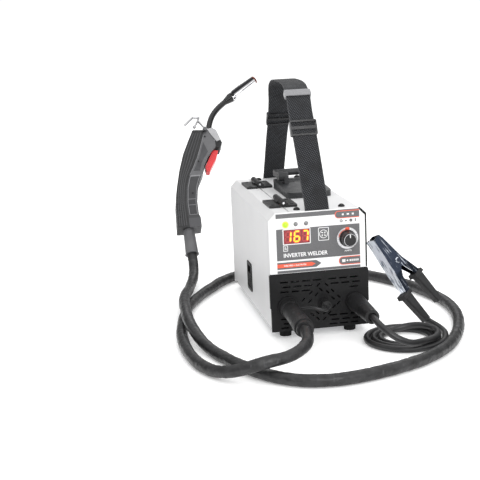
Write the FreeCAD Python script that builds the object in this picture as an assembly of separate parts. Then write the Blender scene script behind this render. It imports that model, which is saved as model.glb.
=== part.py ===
"""MIG welding machine: inverter case, wire feeder, carrying strap, torch, ground lead.

Millimetres. X to the right, Y to the back, Z up. The origin is on the floor under the
middle of the machine. The front face looks along -Y.
"""
import os
from math import atan, cos, degrees, pi, radians, sin, tan

from FreeCAD import Matrix, Placement, Vector
import Part

# ---------------------------------------------------------------- driving dimensions
WIDTH = 130.0
DEPTH = 290.0
TOP_Z = 168.0
FLOOR_GAP = 10.0
CHAMFER = 9.5
SHEET = 1.2

HALF_W = WIDTH / 2
FRONT_Y = -DEPTH / 2
BACK_Y = DEPTH / 2
PANEL_T = 4.1
GASKET_T = 1.4
COVER_Y = -FRONT_Y - PANEL_T - GASKET_T
SPLIT_Z = 88.0
SEAM_X = -36.5
SEAM_GAP = 0.6
HINGE_Z = 174.0
BARREL_R = 4.0
PIN_R = 1.5
RUN_FIT = 0.05
MOVE_GAP = 0.5

KNOB_X = 39.0
KNOB_Z = 128.5
SHAFT_HOLE_R = 4.0
STICKER_X = 55.5
STICKER_TOP = 167.0
WINDOW = (-45.8, 127.0, -11.4, 145.6)
LAMPS_X = (-43.0, -29.3, -15.6)
LAMP_Z = 152.5
LAMP_R = 2.5
TORCH_SOCKET = (-43.0, 43.5)
GROUND_SOCKET = (47.0, 43.0)
CONTROL_SOCKET = (5.0, 44.0)
MAINS_GLAND = (-35.0, 42.0)

PARTITION_X = -2.0
SPOOL_Y = 60.0
SPOOL_Z = 85.0
SPOOL_R = 50.0
SPOOL_CORE_R = 20.0
SPOOL_HUB_R = 7.95
WINDING_R = 44.0
ROLL_Y = -70.0
DRIVE_Z = 28.5
DRIVE_R = 15.0
PRESS_R = 11.0
WIRE_GAP = 0.8
ARM_PIVOT_Y = -97.0
ARM_PIVOT_Z = 61.0
FAN_X = 31.0
FAN_Z = 90.0

BAIL_Y = 14.0
BAIL_Z = 190.0

STRAP_W = 32.0
STRAP_T = 2.0

HOSE_D = 16.0
GROUND_D = 8.5
LEAD_D = 3.6
COIL_X = 96.0
COIL_Y = -200.0
COIL_R_OUT = 53.5
COIL_R_IN = 27.0
COIL_H = 17.5

TORCH_BASE = Vector(-122.5, 205.0, 43.0)
TORCH_LEAN = 40.0
TRIGGER_U = 57.0
TRIGGER_W = 189.0
TRIGGER_PIN_R = 1.3
HOOK_U = 49.5
HOOK_W = 226.0
HOOK_Z = 16.4
SLEEVE_SOCKET = 18.8

CLAMP_RIVET = Vector(107.8, -125.2, 86.9)
CLAMP_ACROSS = Vector(0.351, -0.864, 0.362)
CLAMP_ALONG = Vector(0.593, -0.093, -0.799)
CLAMP_HALF_W = 9.0
PRESSED_T = 1.2
RIVET_R = 2.5
GRIP_HALF_W = 6.2

# ---------------------------------------------------------------- cord routes
# Torch hose: out of the connector, left round the machine, behind it, back along the
# right side and the front, over itself twice, and up into the torch sleeve.
TORCH_HOSE = [
    (-43, -242, 40), (-45, -269, 38), (-58, -293, 33.5), (-81, -307, 29), (-108, -310, 27),
    (-135, -302, 18), (-156, -282, 10.5), (-171, -252, 8.2), (-179, -216, 8.3),
    (-183, -172, 8.2), (-182, -124, 8.3), (-175, -72, 8.3), (-165, -18, 8.2), (-150, 36, 8.3),
    (-127, 84, 8.2), (-104, 122, 8.3), (-82, 158, 8.2), (-50, 186, 8.3), (-10, 198, 8.2),
    (32, 195, 8.3), (71, 180, 8.2), (107, 155, 8.3), (137, 121, 8.2), (161, 80, 8.3),
    (182, 34, 8.2), (194, -16, 8.3), (202, -66, 8.2), (197, -118, 8.3), (183, -168, 8.2),
    (161, -218, 8.3), (133, -262, 8.2), (95, -297, 8.3), (50, -321, 8.2), (2, -337, 8.3),
    (-40, -341, 8.2), (-76, -329, 8.3), (-103, -303, 8.2), (-123, -268, 8.3),
    (-139, -230, 8.2), (-153, -190, 9), (-163, -148, 14), (-169, -105, 22), (-168, -62, 27),
    (-165, -18, 27), (-158, 22, 26), (-151, 60, 20), (-143, 97, 14.5), (-136, 130, 13),
    (-128, 157, 17.5), (-124, 181, 25.2), (-122.5, 201.1, 38.4), (-122.5, 217.1, 57.4)]
# Ground cable from its plug down to the coil, and from the coil to the clamp.
PLUG_CABLE = [
    (47.8, -225, 43), (48.5, -239, 40.5), (54, -251, 34.5), (63, -260, 27), (75, -264, 19.5),
    (89, -260, 13.5), (102, -249, 10)]
CLAMP_CABLE = [
    (145.7, -143.2, 7.7), (149.2, -149.5, 5.6), (151.8, -162, 5.0), (153, -178, 5.0),
    (152.4, -195, 5.2), (148.5, -209, 6.5), (139, -219, 8)]
# Short polarity lead from the torch connector to the middle socket.
POLARITY_LEAD = [
    (-31, -168, 46), (-24, -173, 48), (-16, -178, 48.5), (-8, -181, 46), (-0.5, -179, 43.5),
    (4, -172, 43.2), (5, -164, 44)]

NODES = []


# ---------------------------------------------------------------- small tools
def save(name, *shapes):
    """Write one node; several shapes stay separate solids in one file."""
    shape = shapes[0] if len(shapes) == 1 else Part.makeCompound(list(shapes))
    shape.exportStep("parts/%s.step" % name)
    NODES.append(name)


def box(x0, y0, z0, x1, y1, z1):
    return Part.makeBox(x1 - x0, y1 - y0, z1 - z0, Vector(x0, y0, z0))


def rod_x(radius, x0, x1, y, z):
    return Part.makeCylinder(radius, x1 - x0, Vector(x0, y, z), Vector(1, 0, 0))


def rod_y(radius, y0, y1, x, z):
    return Part.makeCylinder(radius, y1 - y0, Vector(x, y0, z), Vector(0, 1, 0))


def rod_z(radius, z0, z1, x, y):
    return Part.makeCylinder(radius, z1 - z0, Vector(x, y, z0), Vector(0, 0, 1))


def cone_y(r0, r1, y0, y1, x, z):
    return Part.makeCone(r0, r1, y1 - y0, Vector(x, y0, z), Vector(0, 1, 0))


def plate(points, direction):
    """Closed polygon swept along a vector."""
    return Part.Face(Part.makePolygon(points + points[:1])).extrude(direction)


def plate_xz(points, y0, y1):
    return plate([Vector(x, y0, z) for x, z in points], Vector(0, y1 - y0, 0))


def plate_yz(points, x0, x1):
    return plate([Vector(x0, y, z) for y, z in points], Vector(x1 - x0, 0, 0))


def join(*shapes):
    return shapes[0].multiFuse(list(shapes[1:])).removeSplitter()


def minus(shape, *tools):
    return shape.cut(Part.makeCompound(list(tools)))


def soften(shape, radius, keep):
    """Round the edges that keep() picks."""
    return shape.makeFillet(radius, [edge for edge in shape.Edges if keep(edge)])


def along(edge, direction):
    """True for a straight edge that runs along a direction."""
    if edge.Curve.TypeId != "Part::GeomLine":
        return False
    return abs(abs(edge.Curve.Direction.dot(direction)) - 1) < 1e-6


AXIS_X = Vector(1, 0, 0)
AXIS_Y = Vector(0, 1, 0)
AXIS_Z = Vector(0, 0, 1)


def case_outline(inset, bottom):
    """Case section seen from the front, chamfered at both top edges."""
    side = HALF_W - inset
    top = TOP_Z - inset
    corner = HALF_W - CHAMFER - inset * tan(radians(22.5))
    shoulder = TOP_Z - CHAMFER - inset * tan(radians(22.5))
    return [(-side, bottom), (side, bottom), (side, shoulder), (corner, top),
            (-corner, top), (-side, shoulder)]


# ---------------------------------------------------------------- case
def base_tray():
    floor_t = 1.5
    half = HALF_W - 1.8
    tray = box(-half, -COVER_Y, FLOOR_GAP, half, COVER_Y, FLOOR_GAP + floor_t)
    flanges = [box(side * half - (SHEET if side > 0 else 0), -COVER_Y, FLOOR_GAP + floor_t,
                   side * half + (SHEET if side < 0 else 0), COVER_Y, FLOOR_GAP + 12)
               for side in (-1, 1)]
    slots = [box(14 + 12 * i, -60, FLOOR_GAP - 1, 20 + 12 * i, 0, FLOOR_GAP + floor_t + 1)
             for i in range(4)]
    save("base_tray", minus(join(tray, *flanges), *slots))


def rubber_feet():
    feet = []
    for x in (-44, 44):
        for y in (-127, 127):
            foot = Part.makeCone(7.8, 8.5, FLOOR_GAP, Vector(x, y, 0), AXIS_Z)
            feet.append(minus(foot, rod_z(3.5, -1, 3, x, y)))
    save("rubber_feet", *feet)


def sheet_profile(sign, seam_x, bottom):
    """Bent sheet from the seam over the chamfer and down one side."""
    k = tan(radians(22.5)) * SHEET
    outer = [(seam_x, TOP_Z), (sign * (HALF_W - CHAMFER), TOP_Z),
             (sign * HALF_W, TOP_Z - CHAMFER), (sign * HALF_W, bottom)]
    inner = [(sign * (HALF_W - SHEET), bottom), (sign * (HALF_W - SHEET), TOP_Z - CHAMFER - k),
             (sign * (HALF_W - CHAMFER - k), TOP_Z - SHEET), (seam_x, TOP_Z - SHEET)]
    return outer + inner


def covers():
    fixed = plate_xz(sheet_profile(1, SEAM_X + SEAM_GAP, FLOOR_GAP), -COVER_Y, COVER_Y)
    louvres = [box(HALF_W - 3, 32 + 34 * col, 34 + 10 * row, HALF_W + 1, 60 + 34 * col, 37 + 10 * row)
               for col in range(2) for row in range(9)]
    save("fixed_cover", minus(fixed, *louvres))
    half = COVER_Y - MOVE_GAP
    door = plate_xz(sheet_profile(-1, SEAM_X - SEAM_GAP, 14), -half, half)
    window = box(-HALF_W - 1, -9, 32, -HALF_W + 3, 20, 69)
    save("side_door", minus(door, window))


def front_bezel():
    outline = case_outline(0, SPLIT_Z)
    bezel = plate_xz(outline, FRONT_Y, FRONT_Y + PANEL_T)
    shaft_hole = rod_y(SHAFT_HOLE_R, FRONT_Y - 1, FRONT_Y + 9, KNOB_X, KNOB_Z)
    save("front_bezel", minus(bezel, shaft_hole))


def grille_slots():
    """Slots that pass right through the lower front panel."""
    low = FRONT_Y - 1
    high = FRONT_Y + PANEL_T + 1
    slots = []
    rows = [(76, (-52.6, -38.1, -23.1, -8.5, 12, 26.6, 41.2)),
            (69.5, (-49.5, -34.9, -20.3, 15, 29.5, 44)),
            (63, (-52.7, -38, -23.5, 41.2)),
            (26.7, (-53, 12, 26.6, 41.2)), (20.3, (-49.6, 15, 29.5, 44)),
            (14.6, (-53, -38.4, 12, 26.6, 41.2))]
    for z, starts in rows:
        slots += [box(x, low, z - 1, x + 10.5, high, z + 1) for x in starts]
    return slots


def slanted_vents():
    """Slots at 45 degrees in two rows round the middle socket, above and below it."""
    rising = [(-22.3, 50.8), (-12.0, 59.3), (-1.8, 69.0), (-13.5, 48.0), (-4.4, 56.6)]
    falling = [(9.4, 68.4), (17.2, 60.0), (25.5, 51.2), (10.6, 58.6), (17.6, 49.6), (1.6, 62.4)]
    spots = [(x, z, -45) for x, z in rising] + [(x, z, 45) for x, z in falling]
    spots += [(24.8, 42.5, -45), (18.8, 38.0, -45)]
    spots += [(-3.2, 23.5, 45), (5.5, 22.7, -45), (-10.4, 29.4, 45), (12.4, 30.0, -45),
              (-4.0, 31.8, 45), (6.0, 31.0, -45)]
    vents = []
    for x, z, turn in spots:
        vent = box(-2.9, FRONT_Y - 1, -0.9, 2.9, FRONT_Y + PANEL_T + 1, 0.9)
        vent.rotate(Vector(0, 0, 0), AXIS_Y, turn)
        vent.translate(Vector(x, 0, z))
        vents.append(vent)
    return vents


def front_grille():
    panel = box(-HALF_W, FRONT_Y, FLOOR_GAP, HALF_W, FRONT_Y + PANEL_T, SPLIT_Z)
    step = box(-HALF_W - 1.3, FRONT_Y, 42, HALF_W + 1.3, FRONT_Y + PANEL_T, 86)
    holes = [rod_y(8, FRONT_Y - 1, FRONT_Y + 9, x, z)
             for x, z in (TORCH_SOCKET, GROUND_SOCKET)]
    holes.append(rod_y(5, FRONT_Y - 1, FRONT_Y + 9, *CONTROL_SOCKET))
    save("front_grille", minus(join(panel, step), *holes, *grille_slots(), *slanted_vents()))


def bezel_gasket():
    y0 = FRONT_Y + PANEL_T
    ring = plate_xz(case_outline(0.6, FLOOR_GAP + 0.5), y0, y0 + GASKET_T)
    lip = plate_xz(case_outline(-1.3, FLOOR_GAP + 0.5), y0, y0 + GASKET_T)
    lip = lip.common(box(HALF_W - CHAMFER + 2, y0, FLOOR_GAP, HALF_W + 9, y0 + GASKET_T, TOP_Z + 9))
    hole = plate_xz(case_outline(6, FLOOR_GAP + 6), y0 - 1, y0 + GASKET_T + 1)
    save("bezel_gasket", join(ring, lip).cut(hole))


def rear_panel():
    panel = plate_xz(case_outline(0, FLOOR_GAP), COVER_Y, BACK_Y)
    vents = [box(FAN_X - 26, COVER_Y - 1, 64 + 6 * i, FAN_X + 26, BACK_Y + 1, 67 + 6 * i)
             for i in range(9)]
    switch = box(-47, COVER_Y - 1, 118, -23, BACK_Y + 1, 146)
    gland = rod_y(8, COVER_Y - 1, BACK_Y + 1, *MAINS_GLAND)
    save("rear_panel", minus(panel, *vents, switch, gland))


def cover_screws():
    """Dome heads on the top and the rear panel, with a shank into the sheet."""
    heads = []
    for x, y in ((-24, -130), (36, -130), (-24, 128), (36, 128)):
        dome = Part.makeSphere(4.8, Vector(x, y, TOP_Z - 1.0)).common(rod_z(4.5, TOP_Z, TOP_Z + 6, x, y))
        heads.append(minus(dome, box(x - 2.4, y - 0.5, TOP_Z + 2.2, x + 2.4, y + 0.5, TOP_Z + 6)))
    for x in (-57, 57):
        for z in (18, 155):
            heads.append(cone_y(3.6, 2.6, BACK_Y, BACK_Y + 2, x, z))
    save("cover_screws", *heads)


# ---------------------------------------------------------------- control panel
def control_panel():
    y0 = FRONT_Y - 0.8
    sticker = box(-STICKER_X, y0, SPLIT_Z + 0.6, STICKER_X, FRONT_Y, STICKER_TOP)
    shaft_hole = rod_y(SHAFT_HOLE_R, y0 - 1, FRONT_Y + 1, KNOB_X, KNOB_Z)
    x0, z0, x1, z1 = WINDOW
    save("control_plate", minus(sticker, shaft_hole, box(x0, y0 - 1, z0, x1, FRONT_Y + 1, z1)))
    save("display_window", box(x0, y0 - 0.5, z0, x1, FRONT_Y, z1))
    lenses = []
    for x in LAMPS_X:
        dome = Part.makeSphere(LAMP_R, Vector(x, y0 - 0.5, LAMP_Z))
        dome = dome.common(rod_y(LAMP_R + 0.1, y0 - 3.0, y0 - 0.4, x, LAMP_Z))
        lenses.append(join(rod_y(LAMP_R, y0 - 0.5, y0, x, LAMP_Z), dome))
    save("indicator_lenses", *lenses)


def control_knob():
    y_front = -160.0
    skirt = cone_y(10.4, 11.2, -149.0, -146.4, KNOB_X, KNOB_Z)
    cap = join(cone_y(9.2, 10.0, y_front + 1, -149.0, KNOB_X, KNOB_Z),
               cone_y(8.2, 9.2, y_front, y_front + 1, KNOB_X, KNOB_Z), skirt)
    grooves = [rod_y(0.55, y_front - 1, -149.2, KNOB_X + 9.9 * cos(2 * pi * i / 20),
                     KNOB_Z + 9.9 * sin(2 * pi * i / 20)) for i in range(20)]
    bore = rod_y(3.0, -157.2, -145, KNOB_X, KNOB_Z)
    save("control_knob", minus(cap, bore, *grooves))


# ---------------------------------------------------------------- hinges and latch
HINGE_SPANS = ((-109.0, -59.0), (52.0, 102.0))


def hinge_barrel(y0, y1, bore, web_x):
    """Knuckle round the pin with the web that joins it to its leaf."""
    web = box(min(web_x, SEAM_X), y0, TOP_Z + 2, max(web_x, SEAM_X), y1, HINGE_Z)
    return minus(join(rod_y(BARREL_R, y0, y1, SEAM_X, HINGE_Z), web),
                 rod_y(bore, y0 - 1, y1 + 1, SEAM_X, HINGE_Z))


def hinges():
    fixed = []
    moving = []
    pins = []
    leaf_top = TOP_Z + 3
    for y0, y1 in HINGE_SPANS:
        third = (y1 - y0) / 3
        leaf = box(SEAM_X + 3.6, y0, TOP_Z, SEAM_X + 19, y1, leaf_top)
        leaf = soften(leaf, 3, lambda edge: along(edge, AXIS_Z) and edge.CenterOfMass.x > SEAM_X + 10)
        knuckles = [hinge_barrel(y0, y0 + third - 0.3, PIN_R, SEAM_X + 6),
                    hinge_barrel(y1 - third + 0.3, y1, PIN_R, SEAM_X + 6)]
        holes = [Part.makeCone(2.0, 3.2, 1.6, Vector(SEAM_X + 12.5, y, leaf_top - 1.2), AXIS_Z)
                 for y in (y0 + 8, y1 - 8)]
        fixed.append(minus(join(leaf, *knuckles), *holes))
        leaf = box(SEAM_X - 19, y0, TOP_Z, SEAM_X - 3.6, y1, leaf_top)
        leaf = soften(leaf, 3, lambda edge: along(edge, AXIS_Z) and edge.CenterOfMass.x < SEAM_X - 10)
        knuckle = hinge_barrel(y0 + third + 0.3, y1 - third - 0.3, PIN_R + RUN_FIT, SEAM_X - 6)
        holes = [Part.makeCone(2.0, 3.2, 1.6, Vector(SEAM_X - 12.5, y, leaf_top - 1.2), AXIS_Z)
                 for y in (y0 + 8, y1 - 8)]
        moving.append(minus(join(leaf, knuckle), *holes))
        pins.append(rod_y(PIN_R, y0 - 0.6, y1 + 0.6, SEAM_X, HINGE_Z))
    save("hinge_leaves_fixed", *fixed)
    save("hinge_leaves_door", *moving)
    save("hinge_pins", *pins)


def door_latch():
    x_out = -HALF_W - 1.2
    tray = soften(box(x_out, -11, 30, -HALF_W, 22, 71), 4, lambda edge: along(edge, AXIS_X))
    tray = join(tray, box(-HALF_W, -9, 32, -HALF_W + 4, 20, 69))
    pocket = box(x_out - 1, -6, 35, -HALF_W + 2.6, 17, 66)
    slit = box(-HALF_W, 2, 40, -HALF_W + 5, 9, 62)
    save("latch_bezel", minus(tray, pocket, slit))
    pad = box(x_out + 0.2, -5.5, 37, -HALF_W + 2.2, 16.5, 55)
    ribs = [box(x_out - 0.4, -4, 40 + 4 * i, x_out + 0.3, 15, 41.6 + 4 * i) for i in range(4)]
    stem = box(-HALF_W + 2.2, 2.6, 43, -HALF_W + 6, 8.4, 50)
    tongue = box(-HALF_W + 4.4, 0, 24.5, -HALF_W + 6, 11, 50)
    save("latch_slider", join(pad, *ribs, stem, tongue))


# ---------------------------------------------------------------- carrying handle and strap
def carry_handle():
    side = [(-50, TOP_Z), (48, TOP_Z), (48, TOP_Z + 13), (20, TOP_Z + 12), (-50, TOP_Z + 8)]
    base = plate_yz(side, -18, 45)
    base = soften(base, 9, lambda edge: along(edge, AXIS_Z) and edge.CenterOfMass.y < 0)
    base = soften(base, 5, lambda edge: along(edge, AXIS_Z) and edge.CenterOfMass.y > 40)
    grooves = [minus(box(-19, -51, z, 46, 49, z + 1), box(-17.2, -49.2, z - 1, 44.2, 47.2, z + 2))
               for z in (TOP_Z + 2, TOP_Z + 4.4)]
    slot = join(box(-1, 18.5, TOP_Z + 6, 7, 21.5, TOP_Z + 20), rod_z(1.5, TOP_Z + 6, TOP_Z + 20, -1, 20),
                rod_z(1.5, TOP_Z + 6, TOP_Z + 20, 7, 20))
    base = minus(base, slot, *grooves)
    ears = []
    for x0, x1, pin0, pin1 in ((-9, -3, -17.4, -9), (30, 36, 36, 44.4)):
        ear = join(box(x0, BAIL_Y - 6, TOP_Z + 9, x1, BAIL_Y + 6, BAIL_Z), rod_x(6, x0, x1, BAIL_Y, BAIL_Z))
        ears.append(join(ear, rod_x(3.0, pin0, pin1, BAIL_Y, BAIL_Z)))
    save("handle_base", join(base, *ears))
    reach = 34.0
    bosses = [rod_x(7, x0, x1, BAIL_Y, BAIL_Z) for x0, x1 in ((-17.4, -9.4), (36.4, 44.4))]
    arms = [box(x0, BAIL_Y, BAIL_Z - 4, x1, BAIL_Y + reach, BAIL_Z + 4)
            for x0, x1 in ((-16.4, -10.4), (37.4, 43.4))]
    grip = rod_x(5, -16.4, 43.4, BAIL_Y + reach, BAIL_Z)
    bail = join(*bosses, *arms, grip)
    save("handle_bail", minus(bail, rod_x(3.0 + RUN_FIT, -30, 60, BAIL_Y, BAIL_Z)))


STRAP_PATH = [
    (0, -143, 168), (-3, -140.5, 196), (-6, -136, 226), (-9, -131, 255), (-10, -121, 276),
    (-10, -108, 294), (-9, -97, 308), (-8, -80, 319), (-6, -58, 324), (-5, -34, 326), (-4, 10, 326),
    (-3, 32, 324), (-2, 52, 317), (-1, 61, 307), (0, 67, 293), (1, 78, 276), (2, 92, 256),
    (2, 105, 235), (2, 117, 213), (2, 129, 191), (2, 142, 168)]


def carry_strap():
    """Band through cross sections that stand square to the path."""
    sections = []
    for i, (x, y, z) in enumerate(STRAP_PATH):
        _, y0, z0 = STRAP_PATH[max(i - 1, 0)]
        _, y1, z1 = STRAP_PATH[min(i + 1, len(STRAP_PATH) - 1)]
        out = Vector(0, z0 - z1, y1 - y0).normalize() * (STRAP_T / 2)
        side = Vector(STRAP_W / 2, 0, 0)
        middle = Vector(x, y, z)
        corners = [middle - side - out, middle + side - out, middle + side + out, middle - side + out]
        sections.append(Part.makePolygon(corners + corners[:1]))
    band = Part.makeLoft(sections, True, True)
    save("carry_strap", band.cut(box(-60, -200, TOP_Z - 20, 60, 200, TOP_Z + 0.01)))


def strap_ring(x, y, z, tilt, depth, height, margin, bars):
    """Flat ring round the strap at a point of its path, with or without a middle bar."""
    half = STRAP_W / 2
    frame = box(-half - margin, -depth, -height / 2, half + margin, depth, height / 2)
    frame = soften(frame, 2.2, lambda edge: along(edge, AXIS_Y))
    gaps = [box(-half - 0.4, -depth + 1.2, -height / 2 - 1, half + 0.4, depth - 1.2, height / 2 + 1)]
    if bars:
        gaps += [box(-half, -depth - 1, 2.2, half, depth + 1, height / 2 - 2.4),
                 box(-half, -depth - 1, 2.4 - height / 2, half, depth + 1, -2.2)]
    ring = minus(frame, *gaps)
    ring.rotate(Vector(0, 0, 0), AXIS_X, tilt)
    ring.translate(Vector(x, y, z))
    return ring


def strap_hardware():
    front = strap_ring(-9.8, -122.5, 272.5, -25.5, 3.0, 21, 1.8, True)
    rear = strap_ring(1.5, 86, 265, 34.5, 3.0, 21, 1.8, True)
    keeper = strap_ring(-8.5, -88.5, 313.6, -57, 3.4, 12, 1.6, False)
    save("strap_buckles", front, rear, keeper)


# ---------------------------------------------------------------- wire feeder
def feeder_frame():
    wall = box(PARTITION_X, -124, FLOOR_GAP + 1.5, PARTITION_X + 1.5, 115, 160)
    motor_hole = rod_x(10, PARTITION_X - 1, PARTITION_X + 3, ROLL_Y, DRIVE_Z)
    hub = join(rod_x(SPOOL_HUB_R, -58, PARTITION_X, SPOOL_Y, SPOOL_Z),
               rod_x(SPOOL_CORE_R, -6, PARTITION_X, SPOOL_Y, SPOOL_Z),
               rod_x(11, -61.5, -57.5, SPOOL_Y, SPOOL_Z))
    save("partition", join(wall.cut(motor_hole), hub))
    flanges = [rod_x(SPOOL_R, x0, x0 + 2, SPOOL_Y, SPOOL_Z) for x0 in (-55, -9)]
    core = rod_x(SPOOL_CORE_R, -53, -9, SPOOL_Y, SPOOL_Z)
    windows = [rod_x(5, -56, -6, SPOOL_Y + 33 * cos(radians(a)), SPOOL_Z + 33 * sin(radians(a)))
               for a in (45, 165, 285)]
    bore = rod_x(SPOOL_HUB_R + RUN_FIT, -60, -5, SPOOL_Y, SPOOL_Z)
    save("wire_spool", minus(join(*flanges, core), bore, *windows))
    winding = rod_x(WINDING_R, -53, -9, SPOOL_Y, SPOOL_Z)
    save("wire_winding", winding.cut(rod_x(SPOOL_CORE_R, -54, -8, SPOOL_Y, SPOOL_Z)))


def wire_feeder():
    face_x = -10.0
    block = box(face_x, -106, 12, PARTITION_X, -36, 76)
    block = soften(block, 5, lambda edge: along(edge, AXIS_X))
    drive_bore = rod_x(4.05, face_x - 1, 0, ROLL_Y, DRIVE_Z)
    guide = join(box(face_x - 12, -106, 40, face_x, -94, 48),
                 box(face_x - 12, -46, 40, face_x, -36, 48))
    pivot = rod_x(3.0, -20, face_x, ARM_PIVOT_Y, ARM_PIVOT_Z)
    wire_z = DRIVE_Z + DRIVE_R + WIRE_GAP / 2
    wire_way = rod_y(0.8, -120, -20, -26 + 8, wire_z)
    save("feed_plate", minus(join(block, guide, pivot), drive_bore, wire_way))
    motor = join(rod_x(19, PARTITION_X + 1.5, 44, ROLL_Y, DRIVE_Z + 4),
                 rod_x(12, 44, 49, ROLL_Y, DRIVE_Z + 4))
    save("feed_motor", motor.cut(rod_x(5, -1, 8, ROLL_Y, DRIVE_Z)))
    rim = rod_x(DRIVE_R, -24, -12, ROLL_Y, DRIVE_Z)
    teeth = []
    for i in range(24):
        turn = 2 * pi * i / 24
        y, z = ROLL_Y + DRIVE_R * cos(turn), DRIVE_Z + DRIVE_R * sin(turn)
        teeth.append(rod_x(1.3, -25, -20, y, z))
    roll = join(minus(rim, *teeth), rod_x(4.0, -27, 5, ROLL_Y, DRIVE_Z),
                rod_x(8, -27, -24, ROLL_Y, DRIVE_Z))
    save("drive_roll", roll)
    press_z = DRIVE_Z + DRIVE_R + WIRE_GAP + PRESS_R
    arm = box(-40, ARM_PIVOT_Y - 6, 67, -26.5, -50, 78)
    arm = soften(arm, 4, lambda edge: along(edge, AXIS_X))
    neck = box(-26.5, ARM_PIVOT_Y - 6, 55, -20.5, ARM_PIVOT_Y + 6, 78)
    pivot_bore = rod_x(3.0 + RUN_FIT, -27, -10, ARM_PIVOT_Y, ARM_PIVOT_Z)
    hub = rod_x(6, -20.5, -10.5, ARM_PIVOT_Y, ARM_PIVOT_Z)
    cheek = box(-30, ROLL_Y - 5, press_z - 5, -26.5, ROLL_Y + 5, 67)
    axle = rod_x(3.0, -27, -12.5, ROLL_Y, press_z)
    stud = rod_z(2.5, 78, 96, -33, -60)
    save("pressure_arm", minus(join(arm, neck, hub, cheek, axle, stud), pivot_bore))
    tyre = rod_x(PRESS_R, -24, -13.5, ROLL_Y, press_z)
    save("pressure_roll", minus(tyre, rod_x(3.0 + RUN_FIT, -30, -5, ROLL_Y, press_z)))
    knob = join(rod_z(6.5, 79, 98, -33, -60), rod_z(5, 98, 100, -33, -60))
    flutes = [rod_z(0.8, 82, 101, -33 + 6.8 * cos(2 * pi * i / 10), -60 + 6.8 * sin(2 * pi * i / 10))
              for i in range(10)]
    save("tension_knob", minus(knob, rod_z(2.5 + RUN_FIT, 70, 96.5, -33, -60), *flutes))


# ---------------------------------------------------------------- power electronics
def electronics():
    """Main board with its capacitors, and the display board with the knob's shaft."""
    board = box(52, -120, 16, 53.6, 105, 150)
    cans = [rod_x(11, 22, 52, -28, z) for z in (52, 80, 108)]
    display_y = FRONT_Y + 16
    display = box(-52, display_y, 95, 50, display_y + 1.6, 158)
    shaft = join(rod_y(2.95, -157, display_y, KNOB_X, KNOB_Z),
                 box(KNOB_X - 8, FRONT_Y + 8, KNOB_Z - 8, KNOB_X + 8, display_y, KNOB_Z + 8))
    save("circuit_boards", board, *cans, display, shaft)
    spine = box(44, 0, 40, 52, 100, 130)
    fins = [box(24, 0, 40 + 8 * i, 44, 100, 42 + 8 * i) for i in range(12)]
    save("heatsink", join(spine, *fins))
    core = box(8, -12, FLOOR_GAP + 1.5, 44, 40, 36)
    coil = box(4, -4, 16, 48, 32, 38)
    save("transformer", join(core, coil))


def cooling_fan():
    y0, y1 = 118.0, COVER_Y
    frame = box(FAN_X - 29, y0, FAN_Z - 29, FAN_X + 29, y1, FAN_Z + 29)
    frame = soften(frame, 4, lambda edge: along(edge, AXIS_Y))
    frame = frame.cut(rod_y(27.5, y0 - 1, y1 - 2, FAN_X, FAN_Z))
    grid = rod_y(27.5, y1 - 3, y1 + 1, FAN_X, FAN_Z)
    struts = [box(FAN_X - 29, y1 - 3, FAN_Z - 2, FAN_X + 29, y1 + 1, FAN_Z + 2),
              box(FAN_X - 2, y1 - 3, FAN_Z - 29, FAN_X + 2, y1 + 1, FAN_Z + 29),
              rod_y(12, y1 - 3, y1 + 1, FAN_X, FAN_Z)]
    spindle = rod_y(2.0, y0 + 6, y1 - 1, FAN_X, FAN_Z)
    save("fan_frame", join(frame.cut(minus(grid, *struts)), spindle))
    hub_y1 = y1 - 2.6
    hub = rod_y(13, y0 + 3, hub_y1, FAN_X, FAN_Z)
    blades = []
    for i in range(7):
        blade = box(12, -1, -6, 26.3, 1, 6)
        blade.rotate(Vector(0, 0, 0), AXIS_X, 38)
        blade.translate(Vector(0, (y0 + 3 + hub_y1) / 2, 0))
        blade.rotate(Vector(0, 0, 0), AXIS_Y, 360 / 7 * i)
        blade.translate(Vector(FAN_X, 0, FAN_Z))
        blades.append(blade.common(box(-60, y0 + 1.5, 0, 100, hub_y1, 200)))
    save("fan_rotor", minus(join(hub, *blades), rod_y(2.0 + RUN_FIT, y0 + 4.5, y1, FAN_X, FAN_Z)))


def rear_fittings():
    frame = join(box(-50, BACK_Y, 115, -20, BACK_Y + 1.6, 149),
                 box(-46.9, COVER_Y - 12, 118.1, -23.1, BACK_Y, 145.9))
    well = box(-44, COVER_Y - 8, 121, -26, BACK_Y + 3, 143)
    pivots = [rod_x(1.5, x0, x0 + 7, BACK_Y - 2, 132) for x0 in (-45, -32)]
    save("power_switch_frame", join(frame.cut(well), *pivots))
    profile = [(BACK_Y - 7, 124.0), (BACK_Y + 1.2, 122.4), (BACK_Y + 1.9, 132.0),
               (BACK_Y + 4.6, 141.2), (BACK_Y - 7, 140.0)]
    rocker = plate_yz(profile, -41.4, -28.6)
    ears = rod_x(3.0, -41.4, -28.6, BACK_Y - 2, 132)
    save("power_rocker", minus(join(rocker, ears), rod_x(1.5 + RUN_FIT, -50, -20, BACK_Y - 2, 132)))
    gx, gz = MAINS_GLAND
    corners = [(gx + 11.5 * cos(radians(60 * i)), gz + 11.5 * sin(radians(60 * i))) for i in range(6)]
    nut = plate_xz(corners, BACK_Y, BACK_Y + 5)
    gland = join(nut, rod_y(7.9, COVER_Y - 6, BACK_Y, gx, gz),
                 cone_y(9.5, 7.5, BACK_Y + 5, BACK_Y + 15, gx, gz))
    save("cord_gland", gland.cut(rod_y(3.6, COVER_Y - 8, BACK_Y + 20, gx, gz)))


# ---------------------------------------------------------------- front connectors
def socket_ring(x, z, r_out, r_in, y0):
    ring = join(rod_y(r_out, y0, FRONT_Y, x, z), rod_y(min(r_out, 7.9), FRONT_Y, FRONT_Y + 8, x, z))
    return ring.cut(rod_y(r_in, y0 - 1, FRONT_Y + 10, x, z))


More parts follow.
